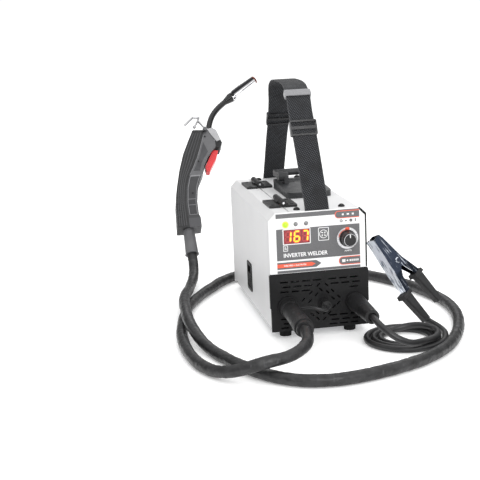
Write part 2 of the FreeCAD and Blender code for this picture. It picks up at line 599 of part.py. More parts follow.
def front_connectors():
    tx, tz = TORCH_SOCKET
    gx, gz = GROUND_SOCKET
    cx, cz = CONTROL_SOCKET
    face_y = FRONT_Y - 3
    small = minus(rod_y(7.5, face_y, FRONT_Y, cx, cz), rod_y(2.5, face_y - 1, FRONT_Y + 1, cx, cz))
    save("front_sockets", socket_ring(tx, tz, 14, 5, face_y), socket_ring(gx, gz, 13, 5, face_y), small)
    droop = degrees(atan(3.4 / 94))
    body = join(rod_y(11.5, -70, 0, 0, 0), rod_y(12.4, -86, -70, 0, 0), rod_y(10.8, -94, -86, 0, 0),
                rod_y(12.6, -14, -6, 0, 0))
    turns = [2 * pi * i / 28 for i in range(28)]
    knurls = [rod_y(0.7, -85, -71, 12.7 * cos(turn), 12.7 * sin(turn)) for turn in turns]
    body = minus(body, *knurls)
    body.rotate(Vector(0, 0, 0), AXIS_X, droop)
    body.translate(Vector(tx, face_y, tz))
    body = body.common(box(-100, -300, 0, 100, face_y, 100))
    save("torch_connector", body)
    boot = join(rod_y(12.2, -12, 0, 0, 0), cone_y(9.2, 12.0, -77, -12, 0, 0))
    rings = [minus(rod_y(14, y, y + 2, 0, 0), rod_y(10.2, y - 1, y + 3, 0, 0)) for y in (-60, -54, -48)]
    boot = minus(boot, rod_y(5.8, -78, -72, 0, 0), *rings)
    boot.translate(Vector(gx, face_y, gz))
    tail = rod_y(4.25, -225, -219, 47.8, 43)
    save("ground_plug", minus(boot, tail))
    plug = join(rod_y(6.4, -160, face_y, cx, cz), cone_y(3.0, 5.5, -164, -160, cx, cz))
    save("polarity_plug", plug)


# ---------------------------------------------------------------- cords
def cord(name, points, diameter):
    """Round cord along straight runs joined by the largest tangent arcs they allow."""
    nodes = [Vector(*point) for point in points]
    edges = []
    radii = []
    last = nodes[0]
    for before, corner, after in zip(nodes, nodes[1:], nodes[2:]):
        run_in = corner - before
        run_out = after - corner
        reach = 0.45 * min(run_in.Length, run_out.Length)
        turn = run_in.getAngle(run_out)
        run_in.normalize()
        run_out.normalize()
        start = corner - run_in * reach
        end = corner + run_out * reach
        radius = reach / tan(turn / 2)
        middle_dir = (run_out - run_in).normalize()
        centre = corner + middle_dir * (reach ** 2 + radius ** 2) ** 0.5
        edges.append(Part.LineSegment(last, start).toShape())
        edges.append(Part.Arc(start, centre - middle_dir * radius, end).toShape())
        radii.append(round(radius, 1))
        last = end
    edges.append(Part.LineSegment(last, nodes[-1]).toShape())
    path = Part.Wire(edges)
    ring = Part.Wire(Part.makeCircle(diameter / 2, nodes[0], nodes[1] - nodes[0]))
    pipe = Part.BRepOffsetAPI.MakePipeShell(path)
    pipe.add(ring)
    pipe.setTransitionMode(0)
    pipe.build()
    pipe.makeSolid()
    tube = pipe.shape()
    section = pi * diameter ** 2 / 4
    print("%s: %.0f mm long, smallest radii %s, volume ratio %.4f, valid %s, lowest %.2f" % (
        name, path.Length, sorted(radii)[:6], tube.Volume / section / path.Length, tube.isValid(),
        tube.BoundBox.ZMin))
    save(name, tube)


def cords():
    cord("torch_hose", TORCH_HOSE, HOSE_D)
    cord("ground_cable_plug_side", PLUG_CABLE, GROUND_D)
    cord("ground_cable_clamp_side", CLAMP_CABLE, GROUND_D)
    cord("polarity_lead", POLARITY_LEAD, LEAD_D)
    coil = minus(rod_z(COIL_R_OUT, 0, COIL_H, COIL_X, COIL_Y),
                 rod_z(COIL_R_IN, -1, COIL_H + 1, COIL_X, COIL_Y))
    save("ground_cable_coil", soften(coil, 4, lambda edge: edge.Curve.TypeId == "Part::GeomCircle"))


# ---------------------------------------------------------------- torch
def placed(shape, origin, x_axis, y_axis, z_axis):
    """Move a shape from its own frame to a place given by three axes."""
    matrix = Matrix(x_axis.x, y_axis.x, z_axis.x, origin.x, x_axis.y, y_axis.y, z_axis.y, origin.y,
                    x_axis.z, y_axis.z, z_axis.z, origin.z, 0, 0, 0, 1)
    moved = shape.copy()
    moved.Placement = Placement(matrix)
    return moved


def torch_place(shape):
    """Torch frame: x to the right, y up along the handle, z towards the front."""
    up = Vector(0, sin(radians(TORCH_LEAN)), cos(radians(TORCH_LEAN)))
    return placed(shape, TORCH_BASE, AXIS_X, up, AXIS_X.cross(up))


def slab(points, half_t):
    """Side outline of a torch piece, as thick as twice half_t."""
    return plate([Vector(u, w, -half_t) for u, w in points], Vector(0, 0, 2 * half_t))


def slab_rod(radius, length, u=0.0, w=0.0):
    """Pin across a slab, centred on its middle plane."""
    return Part.makeCylinder(radius, length, Vector(u, w, -length / 2), AXIS_Z)


def slab_edges(edge):
    return edge.Curve.TypeId == "Part::GeomLine" and abs(edge.Curve.Direction.z) < 0.01


def torch():
    back = slab([(-18, 43), (-15, 90), (-10.4, 118), (-2.6, 150), (7.8, 182), (18.6, 206), (29.3, 228),
                 (48.5, 227), (40.3, 204), (29.2, 174), (19.5, 154), (10.2, 137), (4.2, 117), (0.5, 88),
                 (1, 43)], 13)
    ribs = [slab([(-22, w), (-9, w + 3), (-9, w + 4), (-22, w + 1)], 14) for w in range(60, 120, 12)]
    body = slab([(48.7, 227), (52.5, 228.4), (66, 201), (63.5, 193), (55, 183.5), (46.5, 171.5), (40, 158.5),
                 (37, 147), (28.2, 130), (23.5, 115), (19.2, 89), (18.8, 66), (21, 60), (20.5, 43.5),
                 (1.1, 43), (0.6, 88), (4.4, 116.9), (10.4, 136.9), (19.7, 153.9), (29.4, 173.9),
                 (40.5, 203.9)], 12)
    pocket = slab([(67, 201), (53, 191.5), (45, 177), (35.5, 160), (33.5, 146), (80, 146), (80, 197)], 7)
    pin = slab_rod(TRIGGER_PIN_R, 18, TRIGGER_U, TRIGGER_W)
    top = slab([(66.2, 201), (63.7, 193), (71, 191.5), (75.8, 201), (75, 203), (69, 227),
                (62.9, 232), (52.7, 230)], 11)
    stub = join(Part.makeCylinder(2.0, HOOK_Z - 3, Vector(HOOK_U, HOOK_W, 5), AXIS_Z),
                Part.makeCylinder(3.4, 1.2, Vector(HOOK_U, HOOK_W, HOOK_Z + 2), AXIS_Z))
    shell = join(body.cut(pocket), top, stub, pin)
    save("torch_body", torch_place(shell))
    save("torch_grip", torch_place(minus(back, shell, *ribs)))
    trigger = slab([(68, 188.5), (62, 172), (53, 157.5), (48.5, 148.5), (43, 150), (42, 158), (50, 173),
                    (55.5, 183), (56, 190), (63, 189)], 6.4)
    trigger = join(trigger, slab_rod(2.4, 12.8, TRIGGER_U, TRIGGER_W))
    pin_hole = slab_rod(TRIGGER_PIN_R + RUN_FIT, 20, TRIGGER_U, TRIGGER_W)
    save("torch_trigger", torch_place(trigger.cut(pin_hole)))
    sleeve = Part.makeCone(10.4, 9.0, 43, Vector(0, 0, 0), AXIS_Y)
    socket = rod_y(HOSE_D / 2 + 0.1, -1, SLEEVE_SOCKET, 0, 0)
    sleeve = join(sleeve, Part.makeCone(11.2, 10.3, 2.5, Vector(0, 0, 0), AXIS_Y))
    save("torch_sleeve", torch_place(sleeve.cut(socket)))


def neck_point(i):
    """Centre line of the swan neck: a straight root, then a bend of 42 degrees."""
    return [(57.8, 233.0), (61.5, 247.0), (68.0, 262.0), (79.5, 277.0), (95.0, 290.5)][i]


def torch_front():
    bend = Part.BSplineCurve()
    bend.interpolate([Vector(*neck_point(i), 0) for i in range(5)])
    path = Part.Wire([bend.toShape()])
    start = Vector(*neck_point(0), 0)
    ring = Part.Wire(Part.makeCircle(4.8, start, bend.tangent(bend.FirstParameter)[0]))
    tube = path.makePipeShell([ring], True, False)
    aim = Vector(46.0, 34.5, 0).normalize()
    tip = Vector(95.0, 290.5, 0)
    cone = Part.makeCone(5.2, 8.2, 13, tip, aim)
    save("torch_neck", torch_place(join(tube, cone)))
    seat = tip + aim * 13
    ring = Part.makeCylinder(7.6, 7, seat, aim)
    cup = join(ring, Part.makeCylinder(8.6, 16, seat + aim * 7, aim),
               Part.makeCone(8.6, 7.0, 36, seat + aim * 23, aim))
    cup = cup.cut(Part.makeCylinder(5.4, 60, seat + aim * 12, aim))
    save("torch_nozzle", torch_place(cup))
    save("contact_tip", torch_place(join(Part.makeCylinder(3.6, 28, seat + aim * 12, aim),
                                         Part.makeCone(3.6, 1.8, 14, seat + aim * 40, aim))))


def torch_hook():
    """Bent wire hanger that swivels on a stub behind the neck."""
    wire_r = 1.7
    bends = ((48.5, 229.5), (39.5, 243.5), (41.5, 250), (32, 251), (17, 237))
    points = [Vector(u, w, HOOK_Z) for u, w in bends]
    stem_end = Vector(32, 231.5, HOOK_Z)
    runs = []
    for a, b in zip(points, points[1:]):
        runs.append(Part.makeCylinder(wire_r, (b - a).Length, a, b - a))
        runs.append(Part.makeSphere(wire_r, b))
    stem = [Part.makeCylinder(1.4, (stem_end - points[1]).Length, points[1], stem_end - points[1]),
            Part.makeSphere(2.6, stem_end)]
    eye = Part.makeCylinder(4.2, 3, Vector(HOOK_U, HOOK_W, HOOK_Z - 1.5), AXIS_Z)
    bore = Part.makeCylinder(2.0 + RUN_FIT, 8, Vector(HOOK_U, HOOK_W, HOOK_Z - 4), AXIS_Z)
    save("torch_hook", torch_place(join(eye, *runs, *stem).cut(bore)))


# ---------------------------------------------------------------- ground clamp
def clamp_place(shape):
    """Clamp frame: x from the jaws to the grips, y from lower to upper arm, z across."""
    return placed(shape, CLAMP_RIVET, CLAMP_ALONG, CLAMP_ACROSS.cross(CLAMP_ALONG), CLAMP_ACROSS)


def narrowed(shape, half_w, tail_w):
    """Keep what lies between two sides that close in from the rivet to the grip."""
    side = [(-60, half_w), (12, half_w), (42, tail_w), (99, tail_w)]
    outline = side + [(x, -z) for x, z in reversed(side)]
    return shape.common(plate([Vector(x, -60, z) for x, z in outline], Vector(0, 120, 0)))


def channel(outline, inside, half_w, tail_w):
    """Pressed U channel: outline of its cheeks, and the inside cut between them."""
    core = narrowed(slab(inside, half_w - PRESSED_T), half_w - PRESSED_T, tail_w - PRESSED_T)
    return narrowed(slab(outline, half_w), half_w, tail_w).cut(core)


def clamp_grip(collar, handle, arm):
    """Rubber grip: a wide collar round the end of the arm, and a slimmer tapered handle."""
    handle = soften(slab(handle, GRIP_HALF_W), 2.2, slab_edges)
    return join(soften(slab(collar, GRIP_HALF_W + 1.8), 1.2, slab_edges), handle).cut(arm)


def ground_clamp():
    lower = channel([(-43, -10), (-43, -5), (-22, -4), (-8, 2), (-3, 5.5), (3, 5), (8, -2),
                     (20, -9.5), (42, -13), (42, -22), (-40, -10)],
                    [(-42, -8.8), (-39, -8.8), (43, -20.8), (43, 20), (-45, 20), (-45, -8.8)],
                    CLAMP_HALF_W, 6.6)
    hole = slab_rod(RIVET_R, 40)
    inner_w = CLAMP_HALF_W - PRESSED_T - 0.4
    upper = channel([(-43, -4.4), (-43, 3), (-36, 5), (0, 9.5), (10, 12.5), (35, 21), (37, 14),
                     (12, 3), (6, -6), (-5, -6), (-22, -3)],
                    [(-44, -12), (-44, 2), (-36, 3.8), (0, 8.3), (10, 11.3), (39, 21.2), (44, 0), (6, -12)],
                    inner_w, 4.6)
    save("clamp_upper_arm", clamp_place(upper.cut(slab_rod(RIVET_R + RUN_FIT, 40))))
    rivet = join(slab_rod(RIVET_R, 2 * CLAMP_HALF_W),
                 Part.makeCone(4.2, 3.0, 1.4, Vector(0, 0, CLAMP_HALF_W), AXIS_Z),
                 Part.makeCone(3.0, 4.2, 1.4, Vector(0, 0, -CLAMP_HALF_W - 1.4), AXIS_Z))
    save("clamp_lower_arm", clamp_place(lower.cut(hole)), clamp_place(rivet))
    low_grip = clamp_grip([(39, -29), (39, -12.4), (44.5, -11.8), (44.5, -30.5)],
                          [(41, -27.5), (41, -13.8), (88.5, -15.2), (88.5, -24)], lower)
    save("clamp_lower_grip", clamp_place(low_grip))
    high_grip = clamp_grip([(32, 7.5), (32, 22.8), (37.5, 24), (37.5, 6.5)],
                           [(34, 8.8), (34, 22), (84, 20.3), (84, 11.8)], upper)
    save("clamp_upper_grip", clamp_place(high_grip))


def main():
    os.makedirs("parts", exist_ok=True)
    base_tray()
    rubber_feet()
    covers()
    front_bezel()
    front_grille()
    bezel_gasket()
    rear_panel()
    cover_screws()
    control_panel()
    control_knob()
    hinges()
    door_latch()
    carry_handle()
    carry_strap()
    strap_hardware()
    feeder_frame()
    wire_feeder()
    electronics()
    cooling_fan()
    rear_fittings()
    front_connectors()
    cords()
    torch()
    torch_front()
    torch_hook()
    ground_clamp()
    print(len(NODES), "nodes")


main()
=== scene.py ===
"""MIG welding machine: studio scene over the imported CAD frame."""

from math import cos, pi, radians, sin

import bpy
from mathutils import Matrix, Vector, noise


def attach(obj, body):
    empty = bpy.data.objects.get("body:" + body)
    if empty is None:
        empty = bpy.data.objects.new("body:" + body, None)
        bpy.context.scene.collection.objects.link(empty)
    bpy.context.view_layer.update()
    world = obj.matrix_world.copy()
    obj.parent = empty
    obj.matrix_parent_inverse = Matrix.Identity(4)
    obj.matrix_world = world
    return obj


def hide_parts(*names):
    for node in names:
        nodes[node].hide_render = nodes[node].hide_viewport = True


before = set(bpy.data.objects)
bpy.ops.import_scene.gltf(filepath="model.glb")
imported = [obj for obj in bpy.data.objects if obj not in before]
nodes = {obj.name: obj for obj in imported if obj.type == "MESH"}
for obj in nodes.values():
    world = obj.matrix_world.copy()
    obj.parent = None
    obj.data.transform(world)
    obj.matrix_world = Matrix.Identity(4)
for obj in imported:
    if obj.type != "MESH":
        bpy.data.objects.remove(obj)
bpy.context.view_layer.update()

MM = 0.001

# Camera, in metres, with its lens in millimetres and its roll in degrees.
CAMERA_PLACE = (-0.32993, -1.50048, 0.43629)
CAMERA_AHEAD = (0.16161, 0.9637, -0.21252)
CAMERA_ROLL = -2.62
CAMERA_LENS = 82.5

# Front panel, in millimetres: face and half width of the printed plate, and what it holds.
PRINT_Y = -145.88
PLATE_W = 55.4
WINDOW = (-46.4, 126.4, -10.8, 146.2)
LAMPS_X = (-43, -29.3, -15.6)
LAMP_Z = 152.5
KNOB_X = 39
KNOB_Z = 128.5
KNOB_Y = -160.15

# Diameters of the cords, in metres.
HOSE_D = 0.016
GROUND_D = 0.0085
LEAD_D = 0.0036

# Routes of the cords in millimetres, the points of the part's own cords.
TORCH_HOSE = [
    (-43, -242, 40), (-45, -269, 38), (-58, -293, 33.5), (-81, -307, 29), (-108, -310, 27),
    (-135, -302, 18), (-156, -282, 10.5), (-171, -252, 8.2), (-179, -216, 8.3),
    (-183, -172, 8.2), (-182, -124, 8.3), (-175, -72, 8.3), (-165, -18, 8.2), (-150, 36, 8.3),
    (-127, 84, 8.2), (-104, 122, 8.3), (-82, 158, 8.2), (-50, 186, 8.3), (-10, 198, 8.2),
    (32, 195, 8.3), (71, 180, 8.2), (107, 155, 8.3), (137, 121, 8.2), (161, 80, 8.3),
    (182, 34, 8.2), (194, -16, 8.3), (202, -66, 8.2), (197, -118, 8.3), (183, -168, 8.2),
    (161, -218, 8.3), (133, -262, 8.2), (95, -297, 8.3), (50, -321, 8.2), (2, -337, 8.3),
    (-40, -341, 8.2), (-76, -329, 8.3), (-103, -303, 8.2), (-123, -268, 8.3),
    (-139, -230, 8.2), (-153, -190, 9), (-163, -148, 14), (-169, -105, 22), (-168, -62, 27),
    (-165, -18, 27), (-158, 22, 26), (-151, 60, 20), (-143, 97, 14.5), (-136, 130, 13),
    (-128, 157, 17.5), (-124, 181, 25.2), (-122.5, 201.1, 38.4), (-122.5, 217.1, 57.4)]
PLUG_CABLE = [
    (47.8, -225, 43), (48.5, -239, 40.5), (54, -251, 34.5), (63, -260, 27), (75, -264, 20.5),
    (88, -261, 15.5)]
CLAMP_CABLE = [
    (148.5, -209, 4.6), (152.4, -195, 4.7), (153, -178, 5.0), (151.8, -162, 5.0),
    (149.2, -149.5, 5.6), (145.7, -143.2, 7.7)]
POLARITY_LEAD = [
    (-31, -168, 46), (-24, -173, 48), (-16, -178, 48.5), (-8, -181, 46), (-0.5, -179, 43.5),
    (4, -172, 43.2), (5, -164, 44)]
COIL_CENTRE = (96, -200)

# Strap centre line, (x, y, z) in millimetres.
STRAP_PATH = [
    (0, -143, 168.2), (-1, -141.5, 182), (-3, -140.5, 196), (-6, -136, 226), (-9, -131, 255),
    (-10, -121, 276), (-10, -108, 294), (-9, -97, 308), (-8, -80, 319), (-6, -58, 324),
    (-5, -34, 326), (-5, -12, 326.3), (-4, 10, 326), (-3, 32, 324), (-2, 52, 317),
    (-1, 61, 307), (0, 67, 293), (1, 78, 276), (2, 92, 256), (2, 105, 235), (2, 117, 213),
    (2, 129, 191), (2, 142, 168.2)]
STRAP_HALF_W = 16.0
STRAP_HALF_T = 0.9
STRAP_RIBS = 11

# Torch frame: the top of its hose sleeve's socket in millimetres, its handle's lean from upright,
# the directions up the handle and out of its side, and the nozzle's axis.
TORCH_BASE = Vector((-122.5, 205.0, 43.0))
TORCH_LEAN = radians(40)
TORCH_UP = Vector((0, sin(TORCH_LEAN), cos(TORCH_LEAN)))
TORCH_OUT = Vector((0, -cos(TORCH_LEAN), sin(TORCH_LEAN)))
NOZZLE_AXIS = Vector((0.8, 0, 0)) + TORCH_UP * 0.6

# Edge lines of the torch's side, in millimetres across and up the handle, and its half widths.
SHELL_BACK = [(-18, 43), (-15, 90), (-10.4, 118), (-2.6, 150), (7.8, 182), (18.6, 206), (29.3, 228)]
SHELL_SEAM = [(1, 43), (0.5, 88), (4.2, 117), (10.2, 137), (19.5, 154), (29.2, 174), (40.3, 204), (48.5, 227)]
GRIP_FRONT = [(20.5, 43.5), (21, 60), (18.8, 66), (19.2, 89), (23.5, 115), (28.2, 130), (37, 147),
              (40, 158.5), (46.5, 171.5), (55, 183.5), (63.5, 193), (66, 201)]
TORCH_SIDE = 12.0
GRIP_SIDE = 13.0

# Clamp frame: its rivet in millimetres, and the directions along, across and out of its arms.
CLAMP_RIVET = Vector((107.8, -125.2, 86.9))
CLAMP_ALONG = Vector((0.593, -0.093, -0.799)).normalized()
CLAMP_ACROSS = Vector((0.351, -0.864, 0.362)).normalized()
CLAMP_LIFT = CLAMP_ACROSS.cross(CLAMP_ALONG).normalized()


def linked(name, data):
    """Object in the scene, made from its data."""
    made = bpy.data.objects.new(name, data)
    bpy.context.scene.collection.objects.link(made)
    return made


def final_mesh(helper):
    """Mesh of a helper curve as it is drawn; the helper itself goes."""
    bpy.context.view_layer.update()
    mesh = bpy.data.meshes.new_from_object(helper.evaluated_get(bpy.context.evaluated_depsgraph_get()))
    curve = helper.data
    bpy.data.objects.remove(helper)
    bpy.data.curves.remove(curve)
    return mesh


# ---------- camera and light
def add_camera():
    """Camera at the object's left front, looking about 12 degrees down, slightly rolled."""
    data = bpy.data.cameras.new("Camera")
    data.sensor_width = 36
    data.lens = CAMERA_LENS
    camera = linked("Camera", data)
    ahead = Vector(CAMERA_AHEAD).normalized()
    right = ahead.cross(Vector((0, 0, 1))).normalized()
    up = right.cross(ahead)
    roll = radians(CAMERA_ROLL)
    side = right * cos(roll) + up * sin(roll)
    top = up * cos(roll) - right * sin(roll)
    turn = Matrix((side, top, -ahead)).transposed().to_4x4()
    camera.matrix_world = Matrix.Translation(CAMERA_PLACE) @ turn
    bpy.context.scene.camera = camera


def add_light(name, place, aim, size, power):
    """Square soft light aimed at a point."""
    data = bpy.data.lights.new(name, "AREA")
    data.size = size
    data.energy = power
    lamp = linked(name, data)
    lamp.location = place
    lamp.rotation_mode = "QUATERNION"
    lamp.rotation_quaternion = (Vector(aim) - Vector(place)).to_track_quat("-Z", "Y")


def add_world():
    """White to the camera; to the object, dim walls round the horizon under a wide bright ceiling."""
    world = bpy.data.worlds.new("Studio")
    bpy.context.scene.world = world
    world.use_nodes = True
    tree = world.node_tree
    plain = tree.nodes["Background"]
    plain.inputs["Color"].default_value = (1, 1, 1, 1)
    plain.inputs["Strength"].default_value = 1.05
    height = node(tree, "SeparateXYZ", {0: node(tree, "TexCoord").outputs["Generated"]}).outputs[2]
    bright = ramp(tree, height, 0.38, 0.86, 0.24, 1.95)
    room = node(tree, "Background", {"Strength": bright}).outputs[0]
    seen = node(tree, "LightPath").outputs["Is Camera Ray"]
    mixed = node(tree, "MixShader", {0: seen, 1: room, 2: plain.outputs[0]}).outputs[0]
    tree.links.new(mixed, tree.nodes["World Output"].inputs["Surface"])


def add_floor():
    """Pale floor just under the feet."""
    edge, z = 14.0, -0.0002
    corners = [(x, y, z) for x, y in rect(-edge, -edge, edge, edge)]
    mesh = mesh_of("Floor", corners, [(0, 1, 2, 3)], unit=1)
    material = surface("studio_floor", grey(0.95), grey(0.94), (0.8, 0.9), patch=3,
                       grain=300, depth=0.00001, spec=0.0, glow=((1, 1, 1), 0.22))
    mesh.materials.append(material)
    floor = linked("Floor", mesh)


def add_studio():
    """Room light, three soft lights and the floor."""
    add_world()
    add_light("Key", (-0.1, -2.1, 1.1), (0, 0, 0.12), 1.3, 30)
    add_light("Fill", (1.6, -1.4, 1.0), (0, 0, 0.12), 1.2, 7)
    add_light("Back", (0.5, 1.6, 1.5), (0, 0, 0.15), 1.2, 8)
    add_floor()


# ---------- materials
def node(tree, kind, inputs=None, **settings):
    """Shader node with its settings, and with constants or links on its inputs."""
    made = tree.nodes.new("ShaderNode" + kind)
    for key, value in settings.items():
        setattr(made, key, value)
    for key, value in (inputs or {}).items():
        if isinstance(value, bpy.types.NodeSocket):
            tree.links.new(value, made.inputs[key])
        else:
            made.inputs[key].default_value = value
    return made


def ramp(tree, value, low, high, start=0.0, end=1.0):
    """Value carried from one range to another, held at the ends."""
    facts = {"Value": value, "From Min": low, "From Max": high, "To Min": start, "To Max": end}
    return node(tree, "MapRange", facts).outputs[0]


def speckle(tree, scale, low, high, detail=3.0, stretch=(1, 1, 1)):
    """Noise mask from 0 to 1 in the object's own space."""
    where = node(tree, "TexCoord").outputs["Object"]
    where = node(tree, "Mapping", {"Vector": where, "Scale": stretch}).outputs[0]
    cloud = node(tree, "TexNoise", {"Vector": where, "Scale": scale, "Detail": detail})
    return ramp(tree, cloud.outputs[0], low, high)


def blend_colour(tree, mask, first, second):
    """Mix of two colours, each a constant or a link."""
    first, second = (c if isinstance(c, bpy.types.NodeSocket) else (*c, 1) for c in (first, second))
    return node(tree, "Mix", {0: mask, 6: first, 7: second}, data_type="RGBA").outputs[2]


def math_node(tree, operation, first, second=0.0):
    """Result of a sum on two constants or links."""
    return node(tree, "Math", {0: first, 1: second}, operation=operation).outputs[0]


def times(tree, first, second):
    """Product of two constants or links."""
    return math_node(tree, "MULTIPLY", first, second)


def grey(level, blue=None):
    """Neutral colour, with its own blue where it leans cool."""
    return (level, level, blue or level)


def axis(tree, index):
    """One coordinate of the piece's own space."""
    return node(tree, "SeparateXYZ", {0: node(tree, "TexCoord").outputs["Object"]}).outputs[index]


def stripes(tree, along, pitch, sharp=1.0):
    """Ridges from 0 to 1 with a pitch in metres along a coordinate."""
    wave = math_node(tree, "SINE", times(tree, along, 2 * pi / pitch))
    return ramp(tree, wave, -sharp, sharp)


def surface(name, colour, other, rough, metal=0.0, patch=45, grain=1400, depth=0.00004,
            stretch=(1, 1, 1), ridges=None, scuffs=None, coat=0.0, glow=None, spec=0.5):
    """Finish with uneven colour and roughness, fine relief, and scuffs where asked."""
    material = bpy.data.materials.new(name)
    material.use_nodes = True
    tree = material.node_tree
    shader = tree.nodes["Principled BSDF"]
    for key, value in (("Metallic", metal), ("Coat Weight", coat), ("Specular IOR Level", spec)):
        shader.inputs[key].default_value = value
    if glow:
        shader.inputs["Emission Color"].default_value = (*glow[0], 1)
        shader.inputs["Emission Strength"].default_value = glow[1]
    mask = speckle(tree, patch, 0.35, 0.65, stretch=stretch)
    paint = blend_colour(tree, mask, colour, other)
    if scuffs:
        rub = speckle(tree, 130, 0.62, 0.75, 6.0, (1, 1, 0.4))
        paint = blend_colour(tree, rub, paint, scuffs)
    tree.links.new(paint, shader.inputs["Base Color"])
    gloss = speckle(tree, patch * 2.3, 0.3, 0.7, stretch=stretch)
    tree.links.new(ramp(tree, gloss, 0.0, 1.0, *rough), shader.inputs["Roughness"])
    fine = speckle(tree, grain, 0.3, 0.7, stretch=stretch)
    relief = node(tree, "Bump", {"Height": fine, "Strength": 0.6, "Distance": depth}).outputs[0]
    if ridges:
        index, pitch, height = ridges
        ridge = stripes(tree, axis(tree, index), pitch, 0.6)
        facts = {"Height": ridge, "Strength": 0.8, "Distance": height, "Normal": relief}
        relief = node(tree, "Bump", facts).outputs[0]
    tree.links.new(relief, shader.inputs["Normal"])
    return material


def webbing_material():
    """Polyester webbing: a fine twill of small picks with painted highlights on them and painted shade
    between them, and faint ribs along the strap.
    """
    material = surface("webbing", grey(0.014, 0.015), grey(0.032, 0.034), (0.62, 0.78), spec=0.2)
    tree = material.node_tree
    shader = tree.nodes["Principled BSDF"]
    place = node(tree, "SeparateXYZ", {0: node(tree, "TexCoord").outputs["UV"]})
    across, down = place.outputs[0], place.outputs[1]
    warp = stripes(tree, math_node(tree, "ADD", across, times(tree, down, 0.45)), 0.0027, 0.9)
    weft = stripes(tree, math_node(tree, "SUBTRACT", down, times(tree, across, 0.3)), 0.0023, 0.9)
    height = times(tree, warp, weft)
    relief = node(tree, "Bump", {"Height": height, "Strength": 0.9, "Distance": 0.0005}).outputs[0]
    tree.links.new(relief, shader.inputs["Normal"])
    # Painted shade and highlight: the weave's hollows are darkened and its raised picks lightened, following
    # the relief height.
    painted_weave_shading = blend_colour(tree, height, grey(0.005, 0.0055), (0.085, 0.09, 0.1))
    worn = blend_colour(tree, speckle(tree, 60, 0.45, 0.8), painted_weave_shading, grey(0.016, 0.017))
    edge = math_node(tree, "GREATER_THAN", math_node(tree, "ABSOLUTE", across), 0.0151)
    worn = blend_colour(tree, times(tree, edge, 0.6), worn, grey(0.09, 0.095))
    tree.links.new(worn, shader.inputs["Base Color"])
    shader.inputs["Sheen Weight"].default_value = 0.04
    return material


def overlay(material, mask, colour):
    """A second colour over a finish where a mask is set."""
    tree = material.node_tree
    base = tree.nodes["Principled BSDF"].inputs["Base Color"]
    tree.links.new(blend_colour(tree, mask, base.links[0].from_socket, colour), base)


def glow_where(material, mask, colour, strength):
    """Light that a finish gives off where a mask is set."""
    tree = material.node_tree
    shader = tree.nodes["Principled BSDF"]
    shader.inputs["Emission Color"].default_value = (*colour, 1)
    tree.links.new(times(tree, mask, strength), shader.inputs["Emission Strength"])


def distance_along(tree, direction, start):
    """Distance in metres from a start in millimetres, along a direction of the piece's own space."""
    where = node(tree, "TexCoord").outputs["Object"]
    where = node(tree, "VectorMath", {0: where, 1: tuple(start * MM)}, operation="SUBTRACT").outputs[0]
    dot = node(tree, "VectorMath", {0: where, 1: tuple(direction)}, operation="DOT_PRODUCT")
    return dot.outputs["Value"]


def faces_towards(tree, direction, low, high):
    """Mask of the surface that faces along a direction of the piece's own space."""
    normal = node(tree, "TexCoord").outputs["Normal"]
    dot = node(tree, "VectorMath", {0: normal, 1: tuple(direction)}, operation="DOT_PRODUCT")
    return ramp(tree, dot.outputs["Value"], low, high)


def buckle_material():
    """Black nylon buckles, and the lighter keeper on the strap's shoulder."""
    material = surface("buckle", grey(0.012, 0.013), grey(0.022, 0.024), (0.2, 0.34), coat=0.3)
    keeper_z = 0.298
    overlay(material, math_node(material.node_tree, "GREATER_THAN", axis(material.node_tree, 2), keeper_z),
            grey(0.2, 0.21))
    return material


def torch_body_material():
    """Dark lower grip, grey shell above it, pale block on top; heights and places in metres."""
    collar, shell, top, front = 0.06, 0.139, 0.206, -0.0585
    material = surface("torch_grey", grey(0.135, 0.14), grey(0.105, 0.11), (0.4, 0.52),
                       grain=2200, depth=0.00008, spec=0.35)
    tree = material.node_tree
    up = distance_along(tree, TORCH_UP, TORCH_BASE)
    overlay(material, math_node(tree, "LESS_THAN", up, shell), grey(0.05, 0.053))
    overlay(material, math_node(tree, "LESS_THAN", up, collar), grey(0.075, 0.08))
    far = math_node(tree, "GREATER_THAN", axis(tree, 0), front)
    for side, colour in (("GREATER_THAN", grey(0.4, 0.41)), ("LESS_THAN", grey(0.012, 0.013))):
        overlay(material, times(tree, far, math_node(tree, side, up, top)), colour)
    return material


def rear_material():
    """Black moulded panel, its rim painted white like the case."""
    material = surface("rear_black", grey(0.01, 0.0105), grey(0.016, 0.017), (0.46, 0.6),
                       grain=2600, depth=0.00009, spec=0.25)
    tree = material.node_tree
    rim = math_node(tree, "SUBTRACT", 1.0, faces_towards(tree, (0.0, 1.0, 0.0), 0.4, 0.7))
    overlay(material, rim, grey(0.74, 0.745))
    return material


